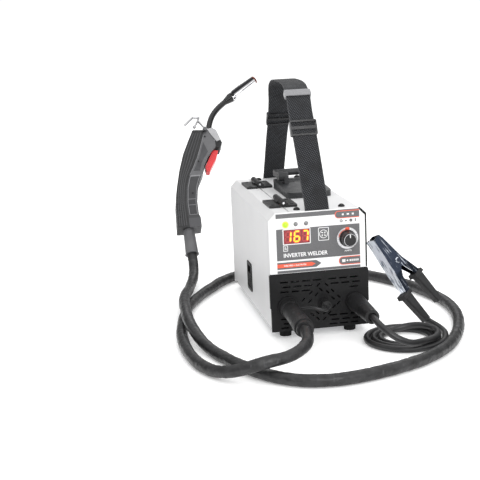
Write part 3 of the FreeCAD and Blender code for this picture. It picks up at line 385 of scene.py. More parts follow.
def clamp_material():
    """Nickel-bright pressed steel with painted reflections: cheeks painted dark blue-grey by the way they
    face, with painted light streaks, light outer webs, and painted dark reflection streaks along the arms.
    """
    material = surface("clamp_steel", (0.92, 0.95, 1.0), (0.84, 0.88, 0.95), (0.12, 0.26), metal=1.0,
                       patch=60, grain=600, depth=0.00005)
    tree = material.node_tree
    along, lift, across = (distance_along(tree, d, CLAMP_RIVET)
                           for d in (CLAMP_ALONG, CLAMP_LIFT, CLAMP_ACROSS))
    drawn = node(tree, "CombineXYZ", {0: times(tree, along, 0.1), 1: lift, 2: across})
    cloud = node(tree, "TexNoise", {"Vector": drawn.outputs[0], "Scale": 380.0, "Detail": 3.0}).outputs[0]
    # Painted reflections: noise stretched along the arms; its dark part is painted as dark streaks, its light
    # part as light streaks on the cheeks.
    dark, light = ramp(tree, cloud, 0.52, 0.62), ramp(tree, cloud, 0.44, 0.36)
    overlay(material, times(tree, dark, 0.85), (0.13, 0.16, 0.22))
    # Painted reflection: faces that point across the arms, the cheeks, are painted dark blue-grey.
    side = math_node(tree, "ADD", faces_towards(tree, CLAMP_ACROSS, 0.6, 0.85),
                     faces_towards(tree, -CLAMP_ACROSS, 0.6, 0.85))
    overlay(material, side, (0.036, 0.045, 0.066))
    # Painted highlight: light streaks over the dark cheeks.
    overlay(material, times(tree, times(tree, side, light), 0.7), (0.62, 0.66, 0.72))
    return material


def nozzle_material():
    """Chromed copper with painted reflections, painted bright below and dark above, and a heat-stained rim at
    the open end.
    """
    above, mouth = (-0.5, 0.1, 0.86), 0.3192
    material = surface("nozzle_chrome", grey(0.86, 0.87), grey(0.78, 0.8), (0.06, 0.14),
                       metal=1.0, patch=120)
    tree = material.node_tree
    # Painted reflection: faces turned up and to the left are painted near black, the most upward of them mid
    # grey; the rest keep the bright chrome colour.
    overlay(material, faces_towards(tree, above, 0.05, 0.35), grey(0.02, 0.022))
    overlay(material, faces_towards(tree, above, 0.86, 0.95), grey(0.2, 0.21))
    out = distance_along(tree, NOZZLE_AXIS, TORCH_BASE)
    overlay(material, math_node(tree, "GREATER_THAN", out, mouth), (0.13, 0.035, 0.02))
    return material


def lamp_material():
    """Clear lamps, the left one lit in yellow-green."""
    material = surface("lamp_lens", grey(0.25), grey(0.18, 0.185), (0.12, 0.2), coat=0.6)
    tree = material.node_tree
    lit = math_node(tree, "LESS_THAN", axis(tree, 0), (LAMPS_X[0] + LAMPS_X[1]) / 2 * MM)
    overlay(material, lit, (0.3, 0.9, 0.02))
    glow_where(material, lit, (0.35, 1.0, 0.02), 0.6)
    return material


def halo_material():
    """Light of the lit lamp on the film round it, fading outwards."""
    material = surface("lamp_halo", grey(0.86), grey(0.83), (0.4, 0.5))
    tree = material.node_tree
    where = node(tree, "TexCoord").outputs["Object"]
    lamp = (LAMPS_X[0] * MM, PRINT_Y * MM, LAMP_Z * MM)
    gap = node(tree, "VectorMath", {0: where, 1: lamp}, operation="DISTANCE").outputs["Value"]
    fade = ramp(tree, gap, 0.0036, 0.0056, 1.0, 0.0)
    overlay(material, fade, (0.52, 0.92, 0.03))
    glow_where(material, fade, (0.5, 1.0, 0.02), 0.22)
    return material


def winding_material(name, copper, dark, pitch):
    """Turns of wire side by side along X."""
    return surface(name, copper, dark, (0.25, 0.4), metal=1.0, ridges=(0, pitch, 0.0003))


# Every finish, followed by the CAD nodes that wear it.
finishes = [
    [surface("white_paint", grey(0.75, 0.755), grey(0.72, 0.725), (0.42, 0.52), patch=9, grain=420,
     depth=0.00005, spec=0.3), "fixed_cover", "side_door"],
    [surface("white_plastic", grey(0.8), grey(0.77, 0.775), (0.34, 0.44), patch=20, grain=900, spec=0.3),
     "front_bezel"],
    [surface("case_black", grey(0.006, 0.0065), grey(0.01, 0.0105), (0.46, 0.6), grain=2600, depth=0.00009,
     spec=0.22), "front_grille", "bezel_gasket", "latch_bezel", "latch_slider", "front_sockets"],
    [rear_material(), "rear_panel"],
    [surface("zinc_sheet", (0.55, 0.56, 0.57), (0.46, 0.47, 0.49), (0.25, 0.42), metal=1.0, patch=110,
     grain=700), "base_tray", "partition"],
    [surface("foot_rubber", grey(0.006), grey(0.012), (0.65, 0.8), grain=900, spec=0.2), "rubber_feet"],
    [surface("printed_film", grey(0.8), grey(0.775, 0.78), (0.38, 0.46), patch=60, spec=0.3),
     "control_plate"],
    [surface("ink_dark", grey(0.12, 0.123), grey(0.136, 0.14), (0.42, 0.52), patch=900, grain=2400,
     depth=0.00003, spec=0.25)],
    [surface("ink_white", grey(0.8), grey(0.74), (0.45, 0.5), patch=400)],
    [surface("ink_orange", (0.8, 0.115, 0.055), (0.74, 0.095, 0.045), (0.45, 0.5), patch=300)],
    [surface("ink_black", grey(0.02, 0.022), grey(0.03, 0.032), (0.45, 0.5), patch=400, spec=0.2)],
    [surface("red_window", (0.16, 0.002, 0.004), (0.12, 0.001, 0.003), (0.1, 0.16), coat=0.5,
     glow=((0.55, 0.0, 0.012), 0.16)), "display_window"],
    [surface("digit_lit", (1.0, 0.38, 0.03), (1.0, 0.42, 0.04), (0.3, 0.4), glow=((1.0, 0.4, 0.015), 1.3))],
    [surface("digit_halo", (0.8, 0.02, 0.01), (0.75, 0.015, 0.01), (0.3, 0.4),
     glow=((1.0, 0.012, 0.006), 0.55))],
    [surface("digit_dim", (0.36, 0.03, 0.03), (0.31, 0.025, 0.03), (0.2, 0.3),
     glow=((0.5, 0.02, 0.02), 0.16))],
    [lamp_material(), "indicator_lenses"],
    [halo_material()],
    [surface("knob_black", grey(0.01, 0.011), grey(0.016, 0.017), (0.3, 0.42), grain=2200, spec=0.35),
     "control_knob"],
    [surface("silver_ring", grey(0.7, 0.71), grey(0.6, 0.62), (0.3, 0.45), metal=0.7, patch=300)],
    [surface("screw_black", grey(0.006), grey(0.012, 0.013), (0.3, 0.42), grain=900, spec=0.3),
     "cover_screws"],
    [surface("hinge_black", grey(0.012, 0.013), grey(0.022, 0.023), (0.4, 0.55), grain=2000, depth=0.00008,
     spec=0.35), "hinge_leaves_fixed", "hinge_leaves_door"],
    [surface("bright_steel", grey(0.72, 0.74), grey(0.6, 0.62), (0.12, 0.25), metal=1.0, patch=90),
     "hinge_pins"],
    [surface("hook_wire", grey(0.5, 0.51), grey(0.3, 0.31), (0.18, 0.3), metal=1.0, patch=140),
     "torch_hook"],
    [surface("handle_grey", (0.034, 0.035, 0.037), (0.052, 0.053, 0.056), (0.38, 0.52), grain=2000,
     depth=0.00008, scuffs=grey(0.09, 0.094), spec=0.4), "handle_base", "handle_bail"],
    [webbing_material()],
    [buckle_material(), "strap_buckles"],
    [surface("switch_black", grey(0.02, 0.021), grey(0.032, 0.034), (0.35, 0.5)), "power_switch_frame",
     "power_rocker", "tension_knob"],
    [surface("spool_black", grey(0.03, 0.032), grey(0.045, 0.05), (0.4, 0.55)), "wire_spool"],
    [winding_material("wire_copper", (0.62, 0.33, 0.17), (0.48, 0.24, 0.12), 0.0009), "wire_winding"],
    [surface("cast_alloy", (0.58, 0.59, 0.61), (0.47, 0.48, 0.5), (0.35, 0.5), metal=1.0, patch=80, grain=900,
     depth=0.00012), "feed_plate", "pressure_arm"],
    [surface("motor_steel", grey(0.06, 0.065), grey(0.09, 0.095), (0.35, 0.45), metal=0.6,
     ridges=(0, 0.004, 0.0002)), "feed_motor"],
    [surface("roll_steel", grey(0.62, 0.63), grey(0.5, 0.52), (0.2, 0.35), metal=1.0,
     ridges=(0, 0.0008, 0.00008)), "drive_roll", "pressure_roll"],
    [surface("board_green", (0.02, 0.13, 0.05), (0.012, 0.085, 0.035), (0.25, 0.4), patch=420,
     scuffs=(0.35, 0.25, 0.1), coat=0.4), "circuit_boards"],
    [winding_material("winding", (0.42, 0.19, 0.07), (0.22, 0.1, 0.05), 0.0016), "transformer"],
    [surface("heatsink_alloy", (0.55, 0.56, 0.58), (0.45, 0.46, 0.48), (0.3, 0.45), metal=1.0,
     ridges=(1, 0.003, 0.00008)), "heatsink"],
    [surface("fan_black", grey(0.014, 0.015), grey(0.028, 0.03), (0.4, 0.55)), "fan_frame", "fan_rotor"],
    [surface("gland_black", grey(0.02, 0.021), grey(0.03, 0.032), (0.4, 0.5)), "cord_gland"],
    [surface("connector_rubber", grey(0.009, 0.0095), grey(0.017, 0.018), (0.34, 0.5), grain=1500,
     depth=0.00006, scuffs=grey(0.05, 0.053), spec=0.4), "torch_connector", "ground_plug", "polarity_plug"],
    [surface("hose_sheath", grey(0.009, 0.0095), grey(0.024, 0.025), (0.34, 0.5), patch=70, grain=160,
     depth=0.0006, scuffs=grey(0.05, 0.053), spec=0.4)],
    [surface("cable_rubber", grey(0.014, 0.015), grey(0.022, 0.023), (0.3, 0.42), grain=900, spec=0.4)],
    [surface("grip_black", grey(0.02, 0.021), grey(0.03, 0.031), (0.4, 0.55), grain=2000, depth=0.0001,
     spec=0.3), "torch_grip"],
    # Lighter grey on the grip's ribs: painted highlight on the ridges.
    [surface("grip_rib_highlight", grey(0.07, 0.073), grey(0.055, 0.058), (0.35, 0.5), grain=2000, spec=0.3)],
    [torch_body_material(), "torch_body"],
    [surface("torch_inset", grey(0.08, 0.084), grey(0.062, 0.066), (0.5, 0.62), grain=1200, depth=0.00015,
     spec=0.25)],
    [surface("torch_inset_low", grey(0.058, 0.061), grey(0.045, 0.048), (0.5, 0.62), grain=1200,
     depth=0.00015, spec=0.25)],
    [surface("torch_edge_line", grey(0.24, 0.25), grey(0.2, 0.21), (0.4, 0.5), grain=1200)],
    [surface("torch_top_grey", grey(0.42, 0.43), grey(0.37, 0.38), (0.42, 0.55), grain=2200)],
    [surface("sleeve_grey", grey(0.13, 0.135), grey(0.1, 0.105), (0.42, 0.55), grain=1500, spec=0.35),
     "torch_sleeve"],
    [surface("trigger_red", (0.72, 0.012, 0.018), (0.62, 0.008, 0.014), (0.25, 0.38), grain=1500, coat=0.3),
     "torch_trigger"],
    [surface("neck_black", grey(0.006, 0.0065), grey(0.012, 0.013), (0.1, 0.2), grain=300, depth=0.00003,
     coat=0.15, spec=0.35), "torch_neck"],
    [nozzle_material(), "torch_nozzle"],
    [surface("tip_copper", (0.6, 0.27, 0.14), (0.42, 0.18, 0.09), (0.25, 0.4), metal=1.0, patch=200),
     "contact_tip"],
    [clamp_material(), "clamp_lower_arm", "clamp_upper_arm"],
    [surface("spring_steel", grey(0.55, 0.57), grey(0.42, 0.44), (0.2, 0.35), metal=1.0, patch=300)],
    [surface("clamp_grip_black", grey(0.011, 0.0115), grey(0.02, 0.021), (0.5, 0.65), grain=1300,
     depth=0.0002, spec=0.35), "clamp_lower_grip", "clamp_upper_grip"],
]


def paint_nodes():
    """Put each finish on its CAD nodes."""
    for material, *names in finishes:
        for name in names:
            slots = nodes[name].material_slots
            if not slots:
                nodes[name].data.materials.append(material)
            for place in slots:
                place.material = material


# ---------- piece helpers
def piece(name, mesh, material, body="root", smooth=False):
    """Link a mesh as a piece of a body."""
    made = linked(name, mesh)
    mesh.materials.append(material)
    for face in mesh.polygons:
        face.use_smooth = smooth
    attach(made, body)
    return made


def mesh_of(name, points, faces, unit=MM):
    """Mesh from points, in millimetres unless a unit is given."""
    mesh = bpy.data.meshes.new(name)
    mesh.from_pydata([tuple(c * unit for c in p) for p in points], [], faces)
    mesh.update()
    return mesh


def prism(outline, low, high, place=lambda a, b, c: (a, c, b)):
    """Points and faces of a closed outline (a, b) between two depths c, sides included."""
    count = len(outline)
    points = [place(a, b, low) for a, b in outline] + [place(a, b, high) for a, b in outline]
    faces = [tuple(range(count)), tuple(reversed(range(count, 2 * count)))]
    for i in range(count):
        j = (i + 1) % count
        faces.append((j, i, i + count, j + count))
    return points, faces


def detail(name, parts, material, slot, body="root"):
    """Piece made of prisms."""
    points, faces = [], []
    for more, their in parts:
        faces += [tuple(len(points) + i for i in face) for face in their]
        points += more
    return piece(name, mesh_of(name, points, faces), material, body)


def rect(x0, z0, x1, z1):
    """Outline of a rectangle."""
    return [(x0, z0), (x1, z0), (x1, z1), (x0, z1)]


def rounded(x0, z0, x1, z1, radius, corners=(1, 1, 1, 1), steps=5):
    """Rectangle with rounded corners, from bottom left anticlockwise."""
    spots = [(x0, z0, 180), (x1, z0, 270), (x1, z1, 0), (x0, z1, 90)]
    outline = []
    for keep, (x, z, start) in zip(corners, spots):
        if not keep:
            outline.append((x, z))
            continue
        cx = x + (radius if x == x0 else -radius)
        cz = z + (radius if z == z0 else -radius)
        for i in range(steps + 1):
            turn = radians(start + 90 * i / steps)
            outline.append((cx + radius * cos(turn), cz + radius * sin(turn)))
    return outline


def disc(x, z, radius, steps=24):
    """Outline of a disc."""
    turns = [2 * pi * i / steps for i in range(steps)]
    return [(x + radius * cos(t), z + radius * sin(t)) for t in turns]


def between(outer, inner):
    """Quads between two outlines with the same number of points."""
    count = len(outer)
    return [[outer[i], outer[(i + 1) % count], inner[(i + 1) % count], inner[i]] for i in range(count)]


def turned(x, z, angle, spots):
    """Outline round a centre, from its spots along and across a direction."""
    ahead = Vector((cos(angle), sin(angle)))
    side = Vector((-ahead.y, ahead.x))
    return [(x + ahead.x * a + side.x * b, z + ahead.y * a + side.y * b) for a, b in spots]


def arc_band(x, z, inner, outer, first, last, steps):
    """Quads of a ring's stretch between two angles in degrees."""
    turns = [radians(first + (last - first) * i / steps) for i in range(steps + 1)]
    near, far = ([(x + r * cos(t), z + r * sin(t)) for t in turns] for r in (inner, outer))
    return [[near[i], near[i + 1], far[i + 1], far[i]] for i in range(steps)]


def printed(name, outlines, level, material, slot="printed_panel", thick=0.04):
    """Ink or a thin film on the front face, at a level in front of the plate."""
    front = PRINT_Y - level
    return detail(name, [prism(outline, front, front + thick) for outline in outlines], material, slot)


def lettering(name, text, x, z, height, width, level, material):
    """Printed words as flat mesh, scaled to a width."""
    curve = bpy.data.curves.new(name, "FONT")
    curve.body = text
    curve.size = 1.0
    curve.offset = 0.024
    mesh = final_mesh(linked(name + "_helper", curve))
    xs = [v.co.x for v in mesh.vertices]
    ys = [v.co.y for v in mesh.vertices]
    grow_x = width / (max(xs) - min(xs))
    grow_z = height / (max(ys) - min(ys))
    for v in mesh.vertices:
        across, up = (v.co.x - min(xs)) * grow_x, (v.co.y - min(ys)) * grow_z
        v.co = Vector((x + across, PRINT_Y - level, z + up)) * MM
    mesh.name = name
    mesh.materials.clear()
    mesh.update()
    return piece(name, mesh, material)


# ---------- control panel print
SEGMENTS = {"1": "bc", "6": "afgecd", "7": "abc"}


def digit_segments(x, z, wide, high, stroke, lean):
    """Outlines of the seven segments of one display digit."""
    def at(a, b):
        return Vector((x + a * wide + lean * (b - 0.5) * high, z + b * high))

    half, gap = stroke / 2, 0.25
    ends = {"a": ((0, 1), (1, 1)), "b": ((1, 1), (1, 0.5)), "c": ((1, 0.5), (1, 0)), "d": ((0, 0), (1, 0)),
            "e": ((0, 0.5), (0, 0)), "f": ((0, 1), (0, 0.5)), "g": ((0, 0.5), (1, 0.5))}
    found = {}
    for letter, (first, last) in ends.items():
        p, q = at(*first), at(*last)
        run = (q - p).normalized()
        side = Vector((-run.y, run.x)) * half
        p, q = p + run * gap, q - run * gap
        tip = run * half
        corners = (p, p + tip + side, q - tip + side, q, q - tip - side, p + tip - side)
        found[letter] = [tuple(c) for c in corners]
    return found


def grown(outline, by):
    """An outline a little larger, for the glow round a lit segment."""
    cx = sum(p[0] for p in outline) / len(outline)
    cz = sum(p[1] for p in outline) / len(outline)
    result = []
    for x, z in outline:
        away = Vector((x - cx, z - cz))
        away = away * (1 + by / max(away.length, 0.6))
        result.append((cx + away.x, cz + away.y))
    return result


def display(m):
    """Red window: lit digits with their glow, unlit segments, and a white frame."""
    level = 0.55
    lit, halo, dim = [], [], []
    for text, x in (("1", -43.2), ("6", -31.6), ("7", -20.6)):
        for letter, outline in digit_segments(x, 129.8, 6.6, 13.2, 2.1, 0.1).items():
            if letter in SEGMENTS[text]:
                lit.append(outline)
                halo.append(grown(outline, 0.75))
            else:
                dim.append(outline)
    printed("DisplayDim", dim, level, m["digit_dim"], "red_window")
    printed("DisplayHalo", halo, level + 0.05, m["digit_halo"], "red_window")
    printed("DisplayDigits", lit, level + 0.1, m["digit_lit"], "red_window")
    (x0, z0, x1, z1), rim = WINDOW, 0.6
    frame_out = rounded(x0 - rim, z0 - rim, x1 + rim, z1 + rim, 0.8)
    frame_in = rounded(x0 + rim, z0 + rim, x1 - rim, z1 - rim, 0.2)
    printed("DisplayFrame", between(frame_out, frame_in), 0.12, m["ink_white"])


def dark_bands():
    """Dark field of the plate, open at the display window, and a band above and below it."""
    x0, z0, x1, z1 = WINDOW
    low, high = 105.4, 147
    return [rect(-PLATE_W, 161, PLATE_W, 166.9), rect(-PLATE_W, 88.7, PLATE_W, 92),
            rect(-PLATE_W, low, x0, high), rect(x1, low, PLATE_W, high), rect(x0, low, x1, z0),
            rect(x0, z1, x1, high)]


def plate_icons():
    """A fan in a frame beside the display, and a small framed mark under it."""
    x, z = 7.1, 136.7
    icon = between(rounded(0, 128, 14.2, 145.4, 1.4), rounded(0.8, 128.8, 13.4, 144.6, 1.0))
    icon += between(disc(x, z, 5.6), disc(x, z, 4.9))
    blade = ((-1.9, 0), (0, -0.8), (1.9, 0), (0, 0.8))
    for i in range(4):
        turn = radians(45 + 90 * i)
        icon.append(turned(x + 2.6 * cos(turn), z + 2.6 * sin(turn), turn + 0.5, blade))
    icon += between(rounded(-46.8, 117.4, -40.6, 125.2, 0.8), rounded(-46.1, 118.1, -41.3, 124.5, 0.5))
    return icon + [rect(-45, 119.4, -44.4, 123.2), rect(-43.9, 119.4, -43.3, 123.2),
                   rect(-42.8, 119.4, -42.3, 121.4)]


def edge_labels(m):
    """Two dark labels that run off the plate's right edge, with orange rims and plain marks."""
    rims, fields = [], []
    for x, low, high, radius, rim in ((22.6, 155.4, 165.4, 4.8, 0.9), (26.6, 93.4, 104.4, 5.2, 1.0)):
        rims.append(rounded(x, low, PLATE_W, high, radius, (1, 0, 0, 1)))
        fields.append(rounded(x + rim, low + rim, PLATE_W, high - rim, radius - 0.9, (1, 0, 0, 1)))
    printed("LabelOrange", rims, 0.1, m["ink_orange"])
    printed("LabelDark", fields, 0.15, m["ink_dark"])
    glyphs = [rect(32.2, 159.3, 34.6, 161.6), rect(38.6, 159.6, 41.8, 161.5), rect(45.4, 159.3, 48, 161.6),
              rect(31, 97, 35.4, 100.8), disc(38.2, 98.9, 1.2, 12)]
    glyphs += [rect(41 + 2.6 * i, 97.6, 42.8 + 2.6 * i, 100.2) for i in range(5)]
    printed("LabelGlyphs", glyphs, 0.2, m["ink_white"])


def arrow(m):
    """Dark arrow from the plate's left edge with an orange one inside, and its words."""
    for name, base, shoulder, tip, half, level, ink in (
            ("ArrowDark", 98.4, -3.6, 3.2, 4.6, 0.1, "ink_dark"),
            ("ArrowOrange", 98.4, -9.5, -4.6, 2.5, 0.15, "ink_orange")):
        shape = [(-PLATE_W, base - half), (shoulder, base - half), (tip, base), (shoulder, base + half),
                 (-PLATE_W, base + half)]
        printed(name, [shape], level, m[ink])
    lettering("ArrowWords", "WIRE FEED + ELECTRODE", -47.0, 97.4, 2.0, 30.0, 0.2, m["ink_white"])


def lamp_marks(m):
    """Rings round the unlit lamps, small marks at the right, and the lit lamp's glow."""
    marks = []
    for x in LAMPS_X[1:]:
        marks += between(disc(x, LAMP_Z, 2.8), disc(x, LAMP_Z, 2.5))
    for x in (31, 44):
        marks += between(disc(x, 152, 1.9, 16), disc(x, 152, 1.0, 16))
    marks += [rect(36.5, 151, 38.3, 152.8), disc(44, 152, 0.7, 10), rect(49.4, 150.2, 50.6, 154)]
    printed("LampMarks", marks, 0.1, m["ink_black"])
    printed("LampHalo", [disc(LAMPS_X[0], LAMP_Z, 5.6, 32)], 0.07, m["lamp_halo"])


def dial(m):
    """Silver scale round the knob, with ticks, an orange stretch and its end mark."""
    ring = between(disc(KNOB_X, KNOB_Z, 14.2, 48), disc(KNOB_X, KNOB_Z, 11.3, 48))
    printed("DialRing", ring, 0.15, m["silver_ring"], "bright_steel", thick=0.1)
    ticks = []
    for i in range(21):
        half, far = (0.225, 13.9) if i % 5 == 0 else (0.11, 13.5)
        spots = ((11.9, -half), (far, -half), (far, half), (11.9, half))
        ticks.append(turned(KNOB_X, KNOB_Z, radians(225 - 13.5 * i), spots))
    printed("DialTicks", ticks, 0.22, m["ink_black"])
    mark = arc_band(KNOB_X, KNOB_Z, 11.5, 12.4, 90, 170, 16) + [rounded(36.2, 138.4, 41.8, 143.2, 1.6)]
    printed("DialMark", mark, 0.3, m["ink_orange"])


def panel_print(m):
    """Everything printed on the front plate."""
    printed("PanelDark", dark_bands(), 0.05, m["ink_dark"])
    printed("PanelIcons", plate_icons(), 0.1, m["ink_white"])
    lettering("PanelWords", "INVERTER WELDER", -46.5, 109.3, 5.3, 58.5, 0.1, m["ink_white"])
    lettering("KnobCaption", "AMPS", 34.4, 110.9, 2.4, 9.6, 0.1, m["ink_white"])
    edge_labels(m)
    arrow(m)
    lamp_marks(m)
    dial(m)


def bezel_trim(m):
    """Thin black strip on the bezel's right side and top right chamfer."""
    outer = [(54.2, 168.05), (55.5, 168.05), (65.05, 158.5), (65.05, 88.6)]
    inner = [(63.0, 88.6), (63.0, 157.6), (54.9, 165.9), (54.2, 165.9)]
    detail("BezelTrim", [prism(outer + inner, -145.15, -144.9)], m["case_black"], "case_black")


def knob_details(m):
    """Painted highlight ring round the edge of the knob's face, and a white pointer."""
    # Painted highlight: a thin silver ring stands in for the light on the face's chamfered edge.
    ring = between(disc(KNOB_X, KNOB_Z, 8.3, 40), disc(KNOB_X, KNOB_Z, 7.8, 40))
    edge = [prism(quad, KNOB_Y, KNOB_Y + 0.12) for quad in ring]
    detail("KnobEdgeHighlight", edge, m["silver_ring"], "bright_steel", "knob")
    pointer = rounded(KNOB_X - 0.6, KNOB_Z + 3, KNOB_X + 0.6, KNOB_Z + 7.5, 0.5)
    line = prism(pointer, KNOB_Y - 0.05, KNOB_Y + 0.1)
    detail("KnobPointer", [line], m["ink_white"], "printed_panel", "knob")


def skin(rings, count, flip=False):
    """Faces of a closed tube of rings with the same number of points."""
    faces = []
    for i in range(rings - 1):
        for j in range(count):
            a, b = i * count + j, i * count + (j + 1) % count
            faces.append((a, b, b + count, a + count) if flip else (a, a + count, b + count, b))
    first, last = range(count), range((rings - 1) * count, rings * count)
    return faces + [tuple(first[::-1] if flip else first), tuple(last if flip else last[::-1])]


# ---------- strap
def smooth_path(points, steps):
    """Curve through the points (Catmull-Rom)."""
    path = []
    last = len(points) - 1
    for i in range(last):
        p0, p1, p2, p3 = (Vector(points[min(max(j, 0), last)]) for j in (i - 1, i, i + 1, i + 2))
        for k in range(steps):
            t = k / steps
            path.append(0.5 * (2 * p1 + (p2 - p0) * t + (2 * p0 - 5 * p1 + 4 * p2 - p3) * t * t
                               + (3 * p1 - p0 - 3 * p2 + p3) * t ** 3))
    path.append(Vector(points[last]))
    return path


def strap_section():
    """Outline of the webbing's section as (across, thickness), ribbed, with thin edges."""
    columns = STRAP_RIBS * 4
    upper = []
    for i in range(columns + 1):
        share = i / columns
        rib = 0.09 * cos(2 * pi * STRAP_RIBS * share) if 0 < i < columns else -0.55
        upper.append((-STRAP_HALF_W + 2 * STRAP_HALF_W * share, STRAP_HALF_T + rib))
    return upper + [(x, -t) for x, t in reversed(upper)]


def strap(m):
    """Webbing along its whole path, slightly cupped here and there."""
    section = strap_section()
    wide = len(section)
    path = smooth_path(STRAP_PATH, 8)
    points = []
    runs = [0.0]
    for i, p in enumerate(path):
        ahead = path[min(i + 1, len(path) - 1)] - path[max(i - 1, 0)]
        out = Vector((0, -ahead.z, ahead.y)).normalized()
        if i:
            runs.append(runs[-1] + (p - path[i - 1]).length)
        wave = 0.5 * noise.noise(Vector((0.3, runs[-1] * 0.012, 0)))
        for x, t in section:
            rise = t + wave * (x / STRAP_HALF_W) ** 2
            points.append((p.x + x, p.y + out.y * rise, p.z + out.z * rise))
    mesh = mesh_of("StrapWebbing", points, skin(len(path), wide))
    layer = mesh.uv_layers.new(name="UVMap")
    for corner in range(len(mesh.loops)):
        row, column = divmod(mesh.loops[corner].vertex_index, wide)
        layer.data[corner].uv = (section[column][0] * MM, runs[row] * MM)
    made = piece("StrapWebbing", mesh, m["webbing"], smooth=True)
    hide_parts("carry_strap")


# ---------- cords
def route_curve(name, points, diameter, material=None):
    """NURBS spline whose control points are the route's points."""
    data = bpy.data.curves.new(name, "CURVE")
    data.dimensions = "3D"
    data.resolution_u = 12
    spline = data.splines.new("NURBS")
    spline.points.add(len(points) - 1)
    for target, p in zip(spline.points, points):
        target.co = (*(c * MM for c in p), 1)
    spline.order_u = 3
    spline.use_endpoint_u = True
    if material:
        data.bevel_depth = diameter / 2
        data.bevel_resolution = 6
        data.use_fill_caps = True
        data.materials.append(material)
    return linked(name, data)


def line_of(points):
    """Points along the route's NURBS spline, in metres."""
    mesh = final_mesh(route_curve("RouteHelper", points, 0))
    line = [v.co.copy() for v in mesh.vertices]
    bpy.data.meshes.remove(mesh)
    return line


def length_of(line):
    """Length of a line of points."""
    return sum((b - a).length for a, b in zip(line, line[1:]))


def even(line, step):
    """The same line with a point every step metres."""
    out = [line[0]]
    carry = 0.0
    for a, b in zip(line, line[1:]):
        long = (b - a).length
        while carry + long >= step:
            a = a.lerp(b, (step - carry) / long)
            out.append(a)
            long = (b - a).length
            carry = 0.0
        carry += long
    if (line[-1] - out[-1]).length > step * 0.3:
        out.append(line[-1])
    return out


def sheath_size(run, a, b, inner, slack):
    """Share of the sheath's radius at a place along it and a direction (a, b) round it.

    Folds lie across it, lumps and creases along it, and it wrinkles inside the bends.
    """
    fold = noise.noise(Vector((run * 120, a * 0.8, b * 0.8)))
    lump = noise.noise(Vector((run * 24 + 9, a * 1.1, b * 1.1)))
    crease = abs(noise.noise(Vector((run * 70 + 40 + a * 0.5, a * 1.4, b * 1.4))))
    wrinkle = max(0.0, noise.noise(Vector((run * 150, a, b))))
    size = 0.965 + 0.045 * fold + 0.06 * lump * slack - 0.55 * max(0.0, 0.13 - crease)
    size -= inner * (0.06 + 0.10 * wrinkle)
    return min(size, 1.0 + 0.10 * slack * max(0.0, 1 - abs(b) * 1.4))


def sheath_tube(name, line, radius, material):
    """Tube in a loose sheath, tight at both ends."""
    step, sides, reach, tight = 0.0022, 32, 8, 14
    path = even(line, step)
    last = len(path) - 1
    points = []
    for i, p in enumerate(path):
        bend = (path[max(i - reach, 0)] + path[min(i + reach, last)]) / 2 - p
        ahead = (path[min(i + 1, last)] - path[max(i - 1, 0)]).normalized()
        side = ahead.cross(Vector((0, 0, 1))).normalized() if abs(ahead.z) < 0.98 else side
        top = side.cross(ahead)
        slack = min(1.0, i / tight, (last - i) / tight)
        for k in range(sides):
            a, b = cos(2 * pi * k / sides), sin(2 * pi * k / sides)
            out = side * a + top * b
            inner = max(0.0, min(1.0, out.dot(bend / step) * 1.4))
            points.append(p + out * radius * sheath_size(i * step, a, b, inner, slack))
    mesh = mesh_of(name, points, skin(len(path), sides, flip=True), unit=1)
    return piece(name, mesh, material, smooth=True)


def coil_route():
    """Loose coil: in over the turns, down inside, then outwards on the floor.

    Each row is an angle in degrees, a radius and a height in millimetres.
    """
    rows = [(-82, 50.0, 13.6), (-60, 48.0, 13.3), (-36, 44.5, 13.2), (-11, 40.5, 13.2), (14, 36.0, 13.2),
            (39, 32.4, 12.6), (64, 30.0, 10.4), (90, 28.8, 7.6), (115, 28.6, 5.4), (140, 29.4, 4.5)]
    first, last, count = 140.0, 1047.0, 36
    growth = 8.9 / 360
    for i in range(1, count + 1):
        angle = first + (last - first) * i / count
        rows.append((angle, 29.4 + growth * (angle - first), 4.35))
    cx, cy = COIL_CENTRE
    spread = 1 / 0.975  # the spline runs inside its control points
    return [(cx + r * spread * cos(radians(a)), cy + r * spread * sin(radians(a)), z) for a, r, z in rows]


def cords(m):
    """Torch hose, ground cable with its coil, and polarity lead."""
    hose = line_of(TORCH_HOSE)
    tube = sheath_tube("TorchHose", hose, HOSE_D / 2, m["hose_sheath"])
    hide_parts("torch_hose")
    route = PLUG_CABLE + coil_route() + CLAMP_CABLE
    cable = route_curve("GroundCable", route, GROUND_D, m["cable_rubber"])
    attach(cable, "root")
    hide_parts("ground_cable_plug_side", "ground_cable_coil", "ground_cable_clamp_side")
    length_of(line_of(route))
    lead = route_curve("PolarityLead", POLARITY_LEAD, LEAD_D, m["cable_rubber"])
    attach(lead, "root")
    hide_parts("polarity_lead")
    length_of(line_of(POLARITY_LEAD))


# ---------- torch and clamp details
def torch_at(u, w, n):
    """Torch frame (across, up the grip, out of its side) to the machine's frame, in mm."""
    return tuple(TORCH_BASE + Vector((u, 0, 0)) + TORCH_UP * w + TORCH_OUT * n)


def across_at(line, w):
    """Where an edge line of the torch lies at a height up the handle."""
    for (u0, w0), (u1, w1) in zip(line, line[1:]):
        if w <= w1:
            return u0 + (u1 - u0) * (w - w0) / (w1 - w0)
    return line[-1][0]


def beside(line, inset, heights):
    """Points beside an edge line of the torch, at some heights."""
    return [(across_at(line, w) + inset, w) for w in heights]


def band(line, width):
    """Narrow outline on both sides of a line of points."""
    return [(u - width / 2, w) for u, w in line] + [(u + width / 2, w) for u, w in reversed(line)]


def strip(low, high, share, width, first, last, step=6.0):
    """Narrow band between two edge lines, at a share of the way across."""
    count = int((last - first) / step)
    heights = [first + (last - first) * i / count for i in range(count + 1)]
    return band([(across_at(low, w) * (1 - share) + across_at(high, w) * share, w) for w in heights], width)


